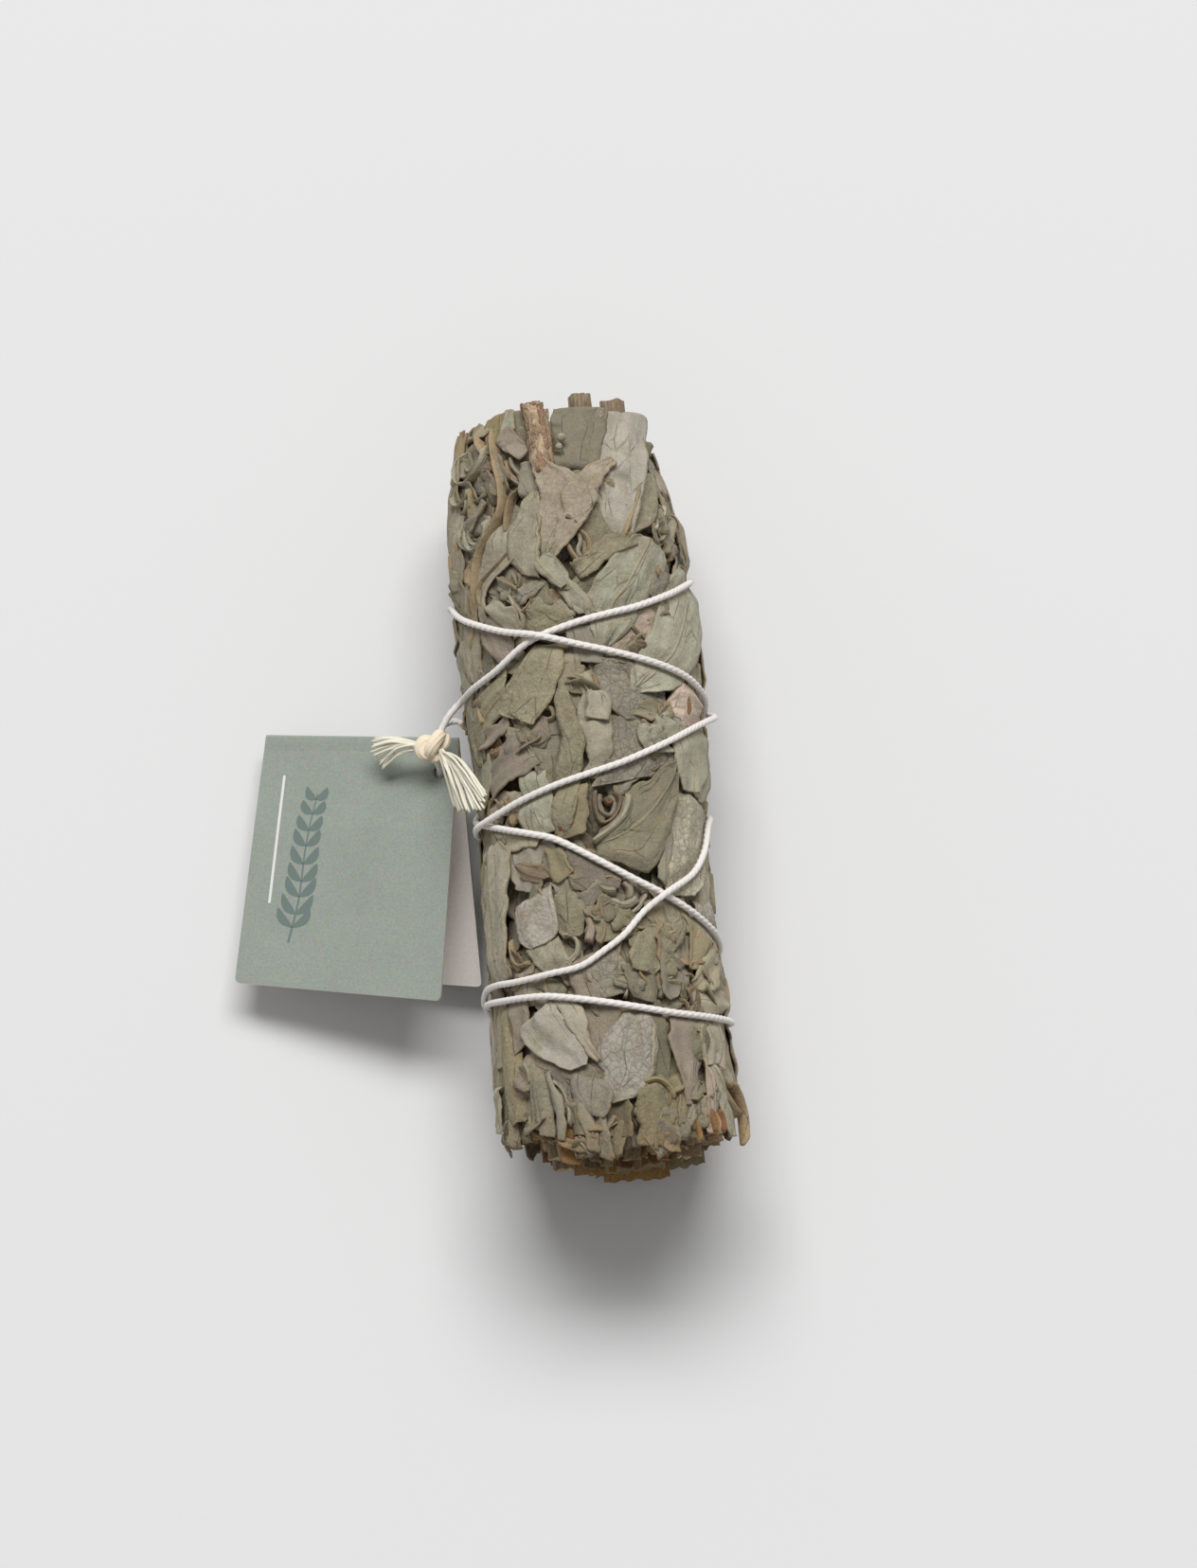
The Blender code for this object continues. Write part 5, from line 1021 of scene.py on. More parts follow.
# %% [markdown]
# Nobody can lay out the other side of a bundle from a photograph, so a seeded rule does. It lays leaves of
# the same sizes and tones, mostly along the bundle, in overlapping rows, with folded ones among them. The
# seed makes them the same each time.

# %% Leaves laid by a rule
SIDE_FROM, SIDE_TO = 20.5, 82.5
rule = random.Random(43)
ROW_STEP, COLUMN_STEP, COLUMNS = 4.4, 7.2, 13
SIDE_TONES = ("light", "mid", "green", "greygreen", "mauve", "olive", "silver", "grey", "mid", "light")
SIDE_LOOKS = ("smooth", "pebbly", "net", "ribbed", "crisp", "smooth")
BROAD = [(0.0, 0.4), (0.22, 0.9), (0.5, 1.0), (0.8, 0.8), (1.0, 0.25)]
TORN = [(0.0, 0.7), (0.2, 1.0), (0.5, 0.88), (0.8, 0.95), (1.0, 0.6)]


def ruled_leaf(middle, heading, length, width, cut):
    """The rungs of a leaf from its middle, heading, size and cut."""
    way = Vector((math.sin(heading), math.cos(heading)))
    side = Vector((way.y, -way.x))
    bend = rule.uniform(-0.1, 0.1) * length
    rungs = []
    for k in range(6):
        u = k / 5
        half = width / 2 * between(cut, u) * rule.uniform(0.85, 1.15)
        spine = middle + way * length * (u - 0.5) + side * bend * 4 * u * (1 - u)
        rungs.append((*(spine - side * half), *(spine + side * half)))
    return rungs


def held_back(rungs, least):
    """The rungs of a leaf, drawn in where they pass a place along the bundle."""
    return [(lx, max(ly, least + 0.15 * (ly - least)), rx, max(ry, least + 0.15 * (ry - least)))
            for lx, ly, rx, ry in rungs]


ruled = []
for row in range(int((SIDE_TO - SIDE_FROM) / ROW_STEP) + 1):
    for column in range(COLUMNS):
        middle = Vector((SIDE_FROM + row * ROW_STEP + rule.uniform(-1.6, 1.6),
                         -45.0 + (column + row % 2 / 2) * COLUMN_STEP + rule.uniform(-2, 2)))
        heading = math.radians(rule.gauss(0, 24) + rule.choice((0, 180)))
        size = rule.uniform(8, 15), rule.uniform(4.6, 7.6)
        tone = rule.choice(SIDE_TONES)
        look = rule.choice(SIDE_LOOKS)
        near_end = -51.0 if 34 < middle.x < 69 else -46.5
        if middle.y + size[0] / 2 < 48 and middle.y - size[0] / 2 > near_end:
            rungs = ruled_leaf(middle, heading, *size, rule.choice((BROAD, TORN)))
            rungs = held_back(rungs, -51.0 if middle.x < 60 else -46.8)
            more = dict(lift=rule.uniform(-0.2, 0.7), tilt=rule.uniform(-0.5, 0.5), cup=rule.uniform(-0.2, 0.3),
                        step=COARSE_STEP)
            ruled.append((tone, look, rungs, more))
side_folds = []
for k in range(70):
    round_at, along = rule.uniform(SIDE_FROM, SIDE_TO), rule.uniform(-46, 40)
    path = [(round_at, along)]
    for _ in range(3):
        path.append((path[-1][0] + rule.uniform(-1.2, 1.2), path[-1][1] + rule.uniform(1.8, 3.0)))
    if path[-1][1] > 45:
        continue
    side_folds.append((rule.choice(("light", "mid", "olive", "mauve", "tan")), path, rule.uniform(0.3, 0.9)))

print(len(ruled), "ruled leaves and", len(side_folds), "folds among them")

# %% [markdown]
# Between leaves one looks down on broken pieces of others. Whole leaves there would be wasted, as only bits of
# them show. So a rule scatters small scraps all round, lower than the leaves and crossed at all angles. Their
# darker tones and lower shade are painted shade for the gaps in which they show.

# %% Scraps under the leaves
# The darker tones here, and a shade of 0.78 to 0.95, are painted shade in the gaps between leaves.
SCRAP_TONES = ("dark", "brown", "olive", "mid", "mauve", "grey", "mid")
scraps = []
for row in range(22):
    for column in range(20):
        middle = Vector((row * 4.68 + rule.uniform(-1.8, 1.8), -46.5 + column * 4.9 + rule.uniform(-1.8, 1.8)))
        middle.y = min(max(middle.y, -45.0), 41.5)
        heading = math.radians(rule.gauss(0, 45))
        tone = rule.choice(SCRAP_TONES)
        rungs = ruled_leaf(middle, heading, rule.uniform(6, 10), rule.uniform(3.2, 5.4), TORN)
        more = dict(lift=rule.uniform(-1.1, -0.3), tilt=rule.uniform(-1.3, 1.3), cup=rule.uniform(-0.3, 0.5),
                    fold=0.45, sink=0.5, step=COARSE_STEP, shade=rule.uniform(0.78, 0.95))
        scraps.append((tone, "crisp", rungs, more))
print(len(scraps), "scraps")

# %% [markdown]
# In some places the leaves are crushed to small bits that stand in all directions. Particles could scatter
# such bits, but these are part of the model. Each place is told by its middle, its reach and how many bits
# lie in it: two in three are flat, and the third is a small fold.

# %% Crumpled places
# The middle of each place (round, along), its reach, and how many bits lie in it
CRUMPLED = [(1, -20.5, 4.5, 12), (9, -26.5, 5, 16), (4, -31, 3, 8), (15, -31, 4.5, 12), (18, -24, 4, 8),
            (-9, 4, 3, 8), (10, 2.5, 3.5, 9), (6, 14.5, 3, 6), (16, 32, 4, 12), (18, 42, 3.5, 9),
            (14, 23, 3, 7), (-15.5, 36, 3.5, 8), (-9, 40, 2.5, 6), (-4, 21, 3, 7), (-9, 23, 3, 7),
            (-7, -18, 3, 6), (-14, -27, 3, 6), (-13, -43, 3, 6), (7, -47, 4, 9), (-4, -48, 4, 9),
            (14, -46, 4, 10), (-19, 8, 4, 8), (-20, 27, 4, 8), (13, -38, 3, 6), (-1, 9, 3, 6),
            (-16, -8, 3, 6), (-17.5, -47, 2.5, 5), (4.5, -51.5, 2.5, 10), (-4.5, -51.5, 3, 8),
            (10, -50, 2, 5), (-11, -49, 2.5, 6)]
bits, bit_folds = [], []
for middle_round, middle_along, reach, count in CRUMPLED:
    for k in range(count):
        middle = Vector((rule.gauss(middle_round, reach / 2), rule.gauss(middle_along, reach / 2)))
        middle.y = max(middle.y, -52 if abs(middle.x) < 9 else -48)
        heading = math.radians(rule.gauss(0, 50))
        tone = rule.choice(("light", "mid", "olive", "green", "mauve", "tan", "brown", "grey"))
        if k % 3:
            rungs = ruled_leaf(middle, heading, rule.uniform(2.4, 5.0), rule.uniform(1.2, 2.8), TORN)
            more = dict(lift=rule.uniform(0.1, 0.85), tilt=rule.uniform(-1.1, 1.1), cup=rule.uniform(-0.3, 0.5),
                        fold=0.5, sink=0.8, shade=rule.uniform(0.82, 1.02))
            bits.append((tone, "crisp", rungs, more))
        else:
            way = Vector((math.sin(heading), math.cos(heading))) * rule.uniform(1.0, 1.8)
            side = Vector((way.y, -way.x)) * rule.uniform(-0.4, 0.4)
            ridge = [tuple(middle - way), tuple(middle + side), tuple(middle + way)]
            bit_folds.append((tone, ridge, rule.uniform(0.4, 1.0)))
print(len(bits), "crumpled bits and", len(bit_folds), "small folds")

# %% [markdown]
# The near cut slopes, so the ends of deeper leaves show below the first ones. A painted edge would look flat
# there. Three more layers of leaf ends, each deeper and longer than the one above it, make the slope.

# %% Layers below the leaf ends
# The height of a layer, how far its leaf ends reach, how many they are, and their tones
LAYERS = ((-1.7, -52.6, 15, ("light", "olive", "tan", "brown", "mid")),
          (-3.8, -53.6, 12, ("tan", "orange", "light", "brown")),
          (-6.2, -54.4, 9, ("orange", "brown", "tan", "rust")))
layered = []
for lift, stop, count, tones in LAYERS:
    for k in range(count):
        middle = (-13.5 + 27 * (k + rule.uniform(0.2, 0.8)) / count) * (1 + 0.01 * lift)
        half = rule.uniform(0.7, 1.5)
        end = stop + 3.4 * (middle / 13) ** 2 + rule.uniform(-0.5, 0.7)
        rungs = [(middle - half * wide, along, middle + half * wide, along + rule.uniform(-0.3, 0.3))
                 for wide, along in ((1.0, -44.5), (1.0, -48.0), (1.1, -50.0), (0.9, end))]
        tone = rule.choice(tones)
        more = dict(lift=lift + rule.uniform(-0.3, 0.3), tilt=rule.uniform(-1, 1), cup=rule.uniform(-0.9, 0.3),
                    fold=0.7, ragged=0.9, shade=rule.uniform(1.0, 1.25))
        layered.append((tone, "crisp", rungs, more))
print(len(layered), "leaf ends in", len(LAYERS), "layers")

# %% [markdown]
# The solids part the bundle into sprigs, and each leaf goes with the sprig below its middle. A mesh for each leaf
# would be hundreds of pieces, so the leaves of a sprig are one. A leaf with more lift tucks less under its
# neighbours. A leaf on a flank is painted lighter, most of all on the right, and one at the near end is painted
# darker: painted light and painted shade in its tone.

# %% Put every leaf with its sprig
SPRIG_EDGES = [("crown", 0.0), ("right", 21.0), ("right_low", 40.0), ("under", 62.5), ("left_low", 75.5),
               ("left", ROUND - 13.0)]
sprigs = {name: new_leaves() for name, edge in SPRIG_EDGES}


def sprig_at(round_at):
    """The mesh of the sprig below a place round the bundle."""
    place = (round_at + 13.0) % ROUND - 13.0
    return sprigs[next(name for name, edge in SPRIG_EDGES if place < edge)]


def painted_light_and_shade(round_at, along):
    """Painted light and shade on a leaf's tone: lighter on the flanks, most on the right, and darker at the near
    end.
    """
    side = math.sin(round_at / ROUND_RADIUS)
    near_end = min(1.0, max(0.0, (-41 - along) / 5))
    return 0.95 + 0.2 * side ** 2 + 0.05 * side - 0.1 * near_end


TUCK, TUCK_FALL, TUCK_LEAST = 0.9, 0.7, 0.1
SEED_STEP = 7.3
RELIEF = 1.25
seed = 0.0
for kind, tone, look, shape, more in SEEN:
    seed += SEED_STEP
    if kind == "lay":
        more = {"lift": 0.5, "tilt": rule.uniform(-0.6, 0.6), "slope": rule.uniform(-0.3, 0.3), **more}
        more["lift"] += (RELIEF - 1) * (more["lift"] - 0.5)
    middle_round = sum(place[0] for place in shape) / len(shape)
    middle_along = sum(place[1] for place in shape) / len(shape)
    target = sprig_at(middle_round)
    # Each leaf's shade is multiplied by painted light on the flanks and painted shade at the near end.
    more = {**more, "shade": more.get("shade", 1) * painted_light_and_shade(middle_round, middle_along)}
    if kind == "lay":
        tuck = max(TUCK_LEAST, TUCK - TUCK_FALL * more["lift"])
        lay_leaf(target, tone, look, grown(shape, tuck), seed=seed, **more)
    else:
        lay_fold(target, tone, shape, seed=seed, **more)
for tone, look, rungs, more in ruled + scraps + bits + layered:
    seed += SEED_STEP
    # The same painted light on the flanks and painted shade at the near end for these leaves too.
    more = {**more, "shade": more.get("shade", 1) * painted_light_and_shade(*rungs[2][:2])}
    lay_leaf(sprig_at(rungs[2][0]), tone, look, rungs, seed=seed, **more)
for tone, path, high in side_folds:
    seed += SEED_STEP
    lay_fold(sprig_at(path[0][0]), tone, path, high=high, seed=seed)
for tone, path, high in bit_folds:
    seed += SEED_STEP
    lay_fold(sprig_at(path[0][0]), tone, path, low=-0.8, high=high, width=0.6, seed=seed)
print(sum(len(bm.faces) for bm in sprigs.values()), "faces of leaves")

# %% [markdown]
# Beside the barked stem sit two small round buds, about a millimetre across. A sphere with few sides is
# enough for them, and they take the leaves' own material. With them the sprigs are whole, and each becomes
# one piece.

# %% Buds, and one piece for each sprig
crown = sprigs["crown"]
tint, look, mm = (crown.verts.layers.float_color["tint"], crown.verts.layers.float_vector["finish"],
                  crown.verts.layers.float_vector["leaf_mm"])
for place, size in (((1.1, 43.2, 1.1), 0.62), ((0.6, 41.9, 0.9), 0.5)):
    for corner in bmesh.ops.create_uvsphere(crown, u_segments=14, v_segments=9, radius=size)["verts"]:
        corner.co += on_bundle(*place)
        corner[tint] = (*TONES["greygreen"], 1)
        corner[look] = Vector(FINISHES["pebbly"])
        corner[mm] = Vector((9, 9, 9))
for name, bm in sprigs.items():
    finish_piece("leaves_" + name, bm, [sage], ["sage_sprig_" + name], thickness=LEAF_THICKNESS)

# %% [markdown]
# The core, the stems and the string are all long round pieces. A cylinder could be bent to each, but it would
# need care at its ends. Here a grid is rolled into a tube, its seam is welded and its ends are closed, and a
# function says where each point goes.


# %% A rolled grid, for every long round piece
def roll_tube(bm, place_of, sides, rows):
    """A closed tube: place_of(turn, u) gives its point at an angle and a share of its length."""
    corners = bmesh.ops.create_grid(bm, x_segments=sides, y_segments=rows, size=1)["verts"]
    for corner in corners:
        corner.co = place_of(math.pi * corner.co.x, (corner.co.y + 1) / 2)
    bmesh.ops.remove_doubles(bm, verts=corners, dist=1e-5)
    corners = [corner for corner in corners if corner.is_valid]
    edges = {edge for corner in corners for edge in corner.link_edges}
    bmesh.ops.holes_fill(bm, edges=[edge for edge in edges if edge.is_boundary], sides=0)
    return corners


print("one helper makes every long round piece")

# %% [markdown]
# Under the leaves the bundle is a packed mass of leaf and stem. It shows only as darkness in the deepest gaps and
# behind the leaf edges at both cut ends. Filling it with leaves would be wasted, so one lumpy tube stands for it,
# coloured dark brown as painted shade.

# %% Core of packed leaf
CORE_FROM, CORE_TO = -46.5, 45.2
CORE_SINK = 1.6

# Its dark browns are painted shade: the darkness of the deep gaps.
packed_core_painted_shade = two_toned("packed sage leaf in shade", 0.95, 1.4, 5, 0.35, 0.7, "#40382b", "#6f6650", 0.5)


def core_place(turn, u):
    """A point of the core, sunk below the leaves and a little lumpy."""
    along = CORE_FROM + (CORE_TO - CORE_FROM) * u
    spot = Vector((math.sin(turn) * 5, along * 0.4, math.cos(turn) * 5))
    reach = between(RADIUS_ALONG, along) - CORE_SINK + 0.5 * noise.noise(spot)
    point = around_axis(turn * ROUND_RADIUS, along, reach)
    point.z = max(point.z, LOWEST + 0.3)
    return point


bm = bmesh.new()
roll_tube(bm, core_place, 120, 110)
bmesh.ops.recalc_face_normals(bm, faces=bm.faces)
finish_piece("packed_core", bm, [packed_core_painted_shade], ["sage_sprig_heart"])

# %% [markdown]
# Where the bundle is cut across, its leaves show as a stack of folded and rolled edges round the stems. A
# bump on a flat face could hint at them, but it would look flat from the side. So each edge is a short
# pleated strip that stands out of the end face. It is brown where the leaves have dried longest.

# %% Folded leaf edges at both cut ends
ends = new_leaves()
rule = random.Random(47)
# Each ring of edges: its share of the bundle's radius, and how many edges it has
RINGS = ((0.95, 17), (0.88, 16), (0.8, 14), (0.72, 12), (0.63, 11), (0.54, 9), (0.44, 8), (0.33, 6),
         (0.22, 5), (0.1, 3))
END_TONES = ("light", "mid", "olive", "brown", "tan", "mauve", "mid", "brown", "lime", "orange", "olive",
             "tan")
# The two dark tones among the near ones are painted shade in the gaps between leaf ends.
NEAR_TONES = ("tan", "orange", "dark", "brown", "tan", "rust", "orange", "light", "lime", "dark", "tan",
              "rust")
END_ROOT, END_STEP = 2.5, 0.48


def end_edge(face, out, place_at, length, depth, tone, seed, hub=None, flare=0.0, shade=1.0):
    """A strip standing out of an end face, where place_at gives its points. It flares from its hub."""
    tint, look, mm, lot = (ends.verts.layers.float_color["tint"], ends.verts.layers.float_vector["finish"],
                           ends.verts.layers.float_vector["leaf_mm"], ends.verts.layers.float["lot"])
    rows = max(6, round(length / END_STEP))
    corners = bmesh.ops.create_grid(ends, x_segments=5, y_segments=rows, size=1)["verts"]
    for corner in corners:
        v, u = (corner.co.x + 1) / 2, (corner.co.y + 1) / 2
        flat = place_at(u)
        if hub:
            flat = hub + (flat - hub) * (1 - flare * (1 - v))
        flat += Vector((0.25 * noise.noise(Vector((u * length / 2, v * 1.5, seed))), 0))
        torn = 0.45 * noise.noise(Vector((u * length / 1.3, seed, 0)))
        torn += 0.12 * noise.noise(Vector((u * length / 0.6, seed, 5)))
        along = face + out * (-END_ROOT + (END_ROOT + depth + torn) * v)
        axis = Vector((between(SHIFT_ALONG, along), along, AXIS_HEIGHT))
        reach = Vector((flat.x, 0, flat.y))
        limit = between(RADIUS_ALONG, along) - 0.1
        if reach.length > limit:
            reach *= limit / reach.length
        reach.x *= 1 - FLANK_PRESS
        corner.co = axis + reach
        corner.co.z = max(corner.co.z, LOWEST + 0.3)
        corner[tint] = (*(Vector(TONES[tone]) * shade * (1 + 0.12 * noise.noise(Vector((u * 3, v * 2, seed))))), 1)
        corner[look] = Vector(FINISHES["crisp"])
        corner[mm] = Vector((9, u * length, (1 - v) * (depth + END_ROOT)))
        corner[lot] = seed
    turn_outward(ends, corners)


print(sum(count for ring, count in RINGS), "pleated edges for each end")

# %% [markdown]
# Between the pleats lie leaf ends that are rolled like a quill or cupped like a gutter. In the end face they
# are spirals and arcs. The near face isn't flat either: it bulges low in its middle, so one function says how
# far its edges stand out.

# %% Rolled and cupped leaf ends
END_BULGE, ROLLS = 6.1, 18


def end_depth(flat, out):
    """How far the leaf edges stand out at a place in an end face."""
    if out > 0:
        return rule.uniform(0.0, 1.4)
    low_left = 0.025 * max(0.0, -flat.x - 8) * max(0.0, -flat.y)
    bulge = END_BULGE - 4.6 * (flat.x / 15) ** 2 + flat.x / 17 - 1.5 * (1 + flat.y / 16.4) - low_left
    return max(0.2, bulge + rule.uniform(-1.8, 0.7))


def rolled_end(face, out, turn, reach, size, turns, start, depth, tone, flare=0.0, flat=1.0, shade=1.0):
    """A leaf end rolled or cupped lengthwise, seen as an arc or a spiral in the end face."""
    hub = Vector((math.sin(turn), math.cos(turn))) * reach

    def place_at(u):
        angle = start + 2 * math.pi * turns * (u - 0.5) - turn
        spot = Vector((math.cos(angle), math.sin(angle))) * size * (1 - 0.3 * max(0.0, turns - 0.9) * u)
        return hub + Vector((spot.x, spot.y * flat))

    end_edge(face, out, place_at, size * turns * 6, depth, tone, rule.uniform(0, 90), hub, flare, shade)


print("near face bulges by up to", END_BULGE, "mm")

# %% [markdown]
# Ten rings of pleated edges fill each face from its rim to its middle, and eighteen rolls lie among them. One rule
# fills both faces, as at both the leaves are packed the same way. The near end is browner, so it has tones of its
# own, with dark ones among them as painted shade in its gaps, and its edges are painted a fifth lighter against
# the shade that falls on that face.

# %% Both end faces
# The near face's shade of 1.2 is painted light, against the shade that falls on that face.
for face, out, tones, shade in ((CORE_FROM, -1, NEAR_TONES, 1.2), (CORE_TO, 1, END_TONES, 1.0)):
    bundle = between(RADIUS_ALONG, face)
    for ring, count in RINGS:
        for k in range(count):
            start = 2 * math.pi * (k + rule.uniform(0, 0.8)) / count
            arc = 2 * math.pi / count * rule.uniform(0.8, 1.5)
            pleats, phase, depth_of = rule.uniform(1.0, 2.2), rule.uniform(0, 6), rule.uniform(0.15, 0.7)
            depth = end_depth(Vector((math.sin(start), math.cos(start))) * bundle * ring, out)

            def pleated(u):
                turn = start + arc * (u - 0.5)
                reach = bundle * ring + depth_of * math.sin(turn * bundle * ring / pleats + phase)
                return Vector((math.sin(turn), math.cos(turn))) * reach

            end_edge(face, out, pleated, arc * bundle * ring + 2, depth, rule.choice(tones), rule.uniform(0, 90),
                     shade=shade)
    for k in range(ROLLS):
        turn, reach = rule.uniform(0, 2 * math.pi), bundle * rule.uniform(0.25, 0.88)
        place = Vector((math.sin(turn), math.cos(turn))) * reach
        rolled_end(face, out, turn, reach, rule.uniform(0.9, 1.6), rule.uniform(1.0, 1.6), rule.uniform(0, 6),
                   0.4 + end_depth(place, out), rule.choice(tones), shade=shade)
print(len(ends.faces), "faces in both end faces")

# %% [markdown]
# At the near end cupped leaf ends show below the upper leaves, in four tiers that grow browner inwards. They
# could be left to the rule above, but they are what one sees first. Each flares outwards from its own middle,
# as the ends of a dried bunch do.

# %% Cupped ends below the upper leaves
# Each tier: its share of the radius, how many ends it has, how far they stand out, and their tones
TIERS = ((0.9, 16, 0.6, ("light", "olive", "mid", "lime", "tan")),
         (0.74, 14, 1.2, ("tan", "light", "olive", "mid", "orange")),
         (0.56, 11, 1.5, ("orange", "brown", "tan", "light")),
         (0.3, 7, 1.2, ("orange", "brown", "tan", "mid")))
bundle = between(RADIUS_ALONG, CORE_FROM)
for share, count, beyond, tones in TIERS:
    for k in range(count):
        turn = math.radians(-88 + 176 * (k + rule.uniform(0.2, 0.8)) / count)
        place = Vector((math.sin(turn), math.cos(turn))) * bundle * share
        # A shade of 1.4 is painted light on these ends, which lie in the shade of the end face.
        rolled_end(CORE_FROM, -1, turn, bundle * share, rule.uniform(1.1, 1.9), rule.uniform(0.5, 0.85),
                   math.pi / 2 + rule.uniform(-0.5, 0.5), beyond + end_depth(place, -1), rule.choice(tones),
                   flare=0.3, flat=rule.uniform(0.6, 1.0), shade=1.4)
finish_piece("leaf_edges_at_the_ends", ends, [sage], ["sage_sprig_heart"], thickness=LEAF_THICKNESS)

# %% [markdown]
# The stems are thin brown shoots with dry bark, and pale wood where they are cut. A photograph of bark could
# be mapped on. Noise drawn out along the stem gives its fibres, and a larger noise its redder patches, as
# fine as they are looked at.

# %% Bark
bark, tree, shader = new_material("dry sage bark", 0.85)
here = add_node(tree, "TexCoord", out="Object")
stretched = add_node(tree, "Mapping", {"Vector": here, "Scale": (1, 0.2, 1)})
fibre = add_node(tree, "TexNoise", [stretched, 1 / (0.45 * MM), 5])
patch = add_node(tree, "TexNoise", [here, 1 / (2.2 * MM), 4, 0.65])
worn = add_node(tree, "MapRange", [fibre, 0.35, 0.68, 0.0, 1.0])
tone = add_node(tree, "Mix", [worn, "#6f604c", "#97866c"], data_type="RGBA")
reddened = add_node(tree, "MapRange", [patch, 0.52, 0.62, 0.0, 0.5])
tone = add_node(tree, "Mix", [reddened, tone, "#7a5642"], data_type="RGBA")
tree.links.new(tone, shader.inputs["Base Color"])
height = add_node(tree, "Math", [patch, 0.8], operation="MULTIPLY")
height = add_node(tree, "Math", [fibre, height], operation="ADD")
relief = add_node(tree, "Bump", {"Height": height, "Distance": 0.35 * MM})
tree.links.new(relief, shader.inputs["Normal"])
print("bark from", len(tree.nodes), "nodes")

# %% [markdown]
# On the thick stem the bark has come away in patches and shows paler wood. The flakes are a noise with a
# sharp border, which is both a second colour and a step in the relief. The cut faces show fine pores.

# %% Peeling bark and cut wood
peeled, tree, shader = new_material("sage wood with bark peeling off", 0.85)
here = add_node(tree, "TexCoord", out="Object")
stretched = add_node(tree, "Mapping", {"Vector": here, "Scale": (1, 0.45, 1)})
grain = add_node(tree, "TexNoise", [stretched, 1 / (0.5 * MM), 4])
flakes = add_node(tree, "TexNoise", [stretched, 1 / (1.5 * MM), 5, 0.6])
worn = add_node(tree, "MapRange", [grain, 0.35, 0.68, 0.0, 1.0])
tone = add_node(tree, "Mix", [worn, "#9a8063", "#cbb496"], data_type="RGBA")
barked = add_node(tree, "MapRange", [flakes, 0.53, 0.57, 0.0, 0.8])
tone = add_node(tree, "Mix", [barked, tone, "#85573f"], data_type="RGBA")
tree.links.new(tone, shader.inputs["Base Color"])
height = add_node(tree, "MapRange", [flakes, 0.48, 0.54, 0.0, 1.2])
height = add_node(tree, "Math", [grain, height], operation="ADD")
relief = add_node(tree, "Bump", {"Height": height, "Distance": 0.3 * MM})
tree.links.new(relief, shader.inputs["Normal"])
print("peeling bark from", len(tree.nodes), "nodes")

cut_wood = two_toned("cut sage wood", 0.8, 0.3, 3, 0.35, 0.65, "#8d7c58", "#b9a57c", 0.15)

# %% [markdown]
# A stem could be a plain cylinder, and from afar it would pass for one. Here it is a tube with a wandering
# skin, ragged cuts and a sunken pith. The barked stem is two tubes, a thick one and a thinner one that
# branches off beside it.

# %% Stems
# Each stem's place round the bundle, its reach from the axis, its radius, and where it starts and stops
STEMS = {
    "crown": [(-6.4, 9.3, 1.6, -51.2, 46.5)],
    "right": [(6.6, 10.4, 1.6, -50.6, 50.6)],
    "right_low": [(30.0, 9.6, 1.7, -51.4, 46.8)],
    "under": [(51.5, 9.4, 1.7, -51.6, 46.4)],
    "left_low": [(69.0, 9.5, 1.5, -51.8, 47.0)],
    "left": [(83.5, 9.5, 1.5, -51.3, 47.4)],
    "heart": [(10.0, 0.6, 1.6, -50.9, 47.2)],
    "barked": [(-2.9, 12.8, 1.5, 39.6, 48.9), (-1.9, 15.3, 1.5, 38.4, 47.0)],
    "shoot": [(13.4, 11.9, 1.7, 34.0, 49.8)],
}


def add_stem(bm, rough, round_at, reach, radius, start, stop):
    """One woody stem as a closed tube with sunken pith at both cuts; rough is how far its bark flakes."""
    seed = round_at

    def stem_place(turn, u):
        along = start + (stop - start) * u
        ragged = 0.35 * noise.noise(Vector((math.cos(turn) * 2, math.sin(turn) * 2, seed + 9 * u)))
        along += ragged * (u > 0.99 or u < 0.01)
        spot = Vector((math.cos(turn) * 1.6, along * 0.25, math.sin(turn) * 1.6 + seed))
        skin = radius * (0.96 + 0.12 * noise.noise(spot) + 0.03 * math.sin(9 * turn + seed))
        skin += rough * noise.noise(spot * 3)
        return around_axis(round_at, along, reach) + Vector((math.cos(turn), 0, math.sin(turn))) * skin

    corners = roll_tube(bm, stem_place, 28, max(12, round((stop - start) / (0.5 if rough else 1.4))))
    faces = list({face for corner in corners for face in corner.link_faces})
    bmesh.ops.recalc_face_normals(bm, faces=faces)
    caps = [face for face in faces if len(face.verts) > 4]
    inner = bmesh.ops.inset_region(bm, faces=caps, thickness=radius * 0.22, depth=-0.1)
    pith = bmesh.ops.inset_region(bm, faces=caps, thickness=radius * 0.45, depth=-0.6)
    for face in caps + inner["faces"] + pith["faces"]:
        face.material_index = 1


for name, tubes in STEMS.items():
    bm = bmesh.new()
    for tube in tubes:
        add_stem(bm, 0.3 if name == "barked" else 0.0, *tube)
    bmesh.ops.recalc_face_normals(bm, faces=bm.faces)
    skin = peeled if name == "barked" else bark
    finish_piece("woody_stem_" + name, bm, [skin, cut_wood], ["stem_" + name])

# %% [markdown]
# Cotton is soft white, with fine fibres that scatter light: hardly any gloss, a little sheen and a fine bump.
# It could be three materials, as the knot and the tails are creamier than the string. One is enough, since it
# reads its colour from the mesh.

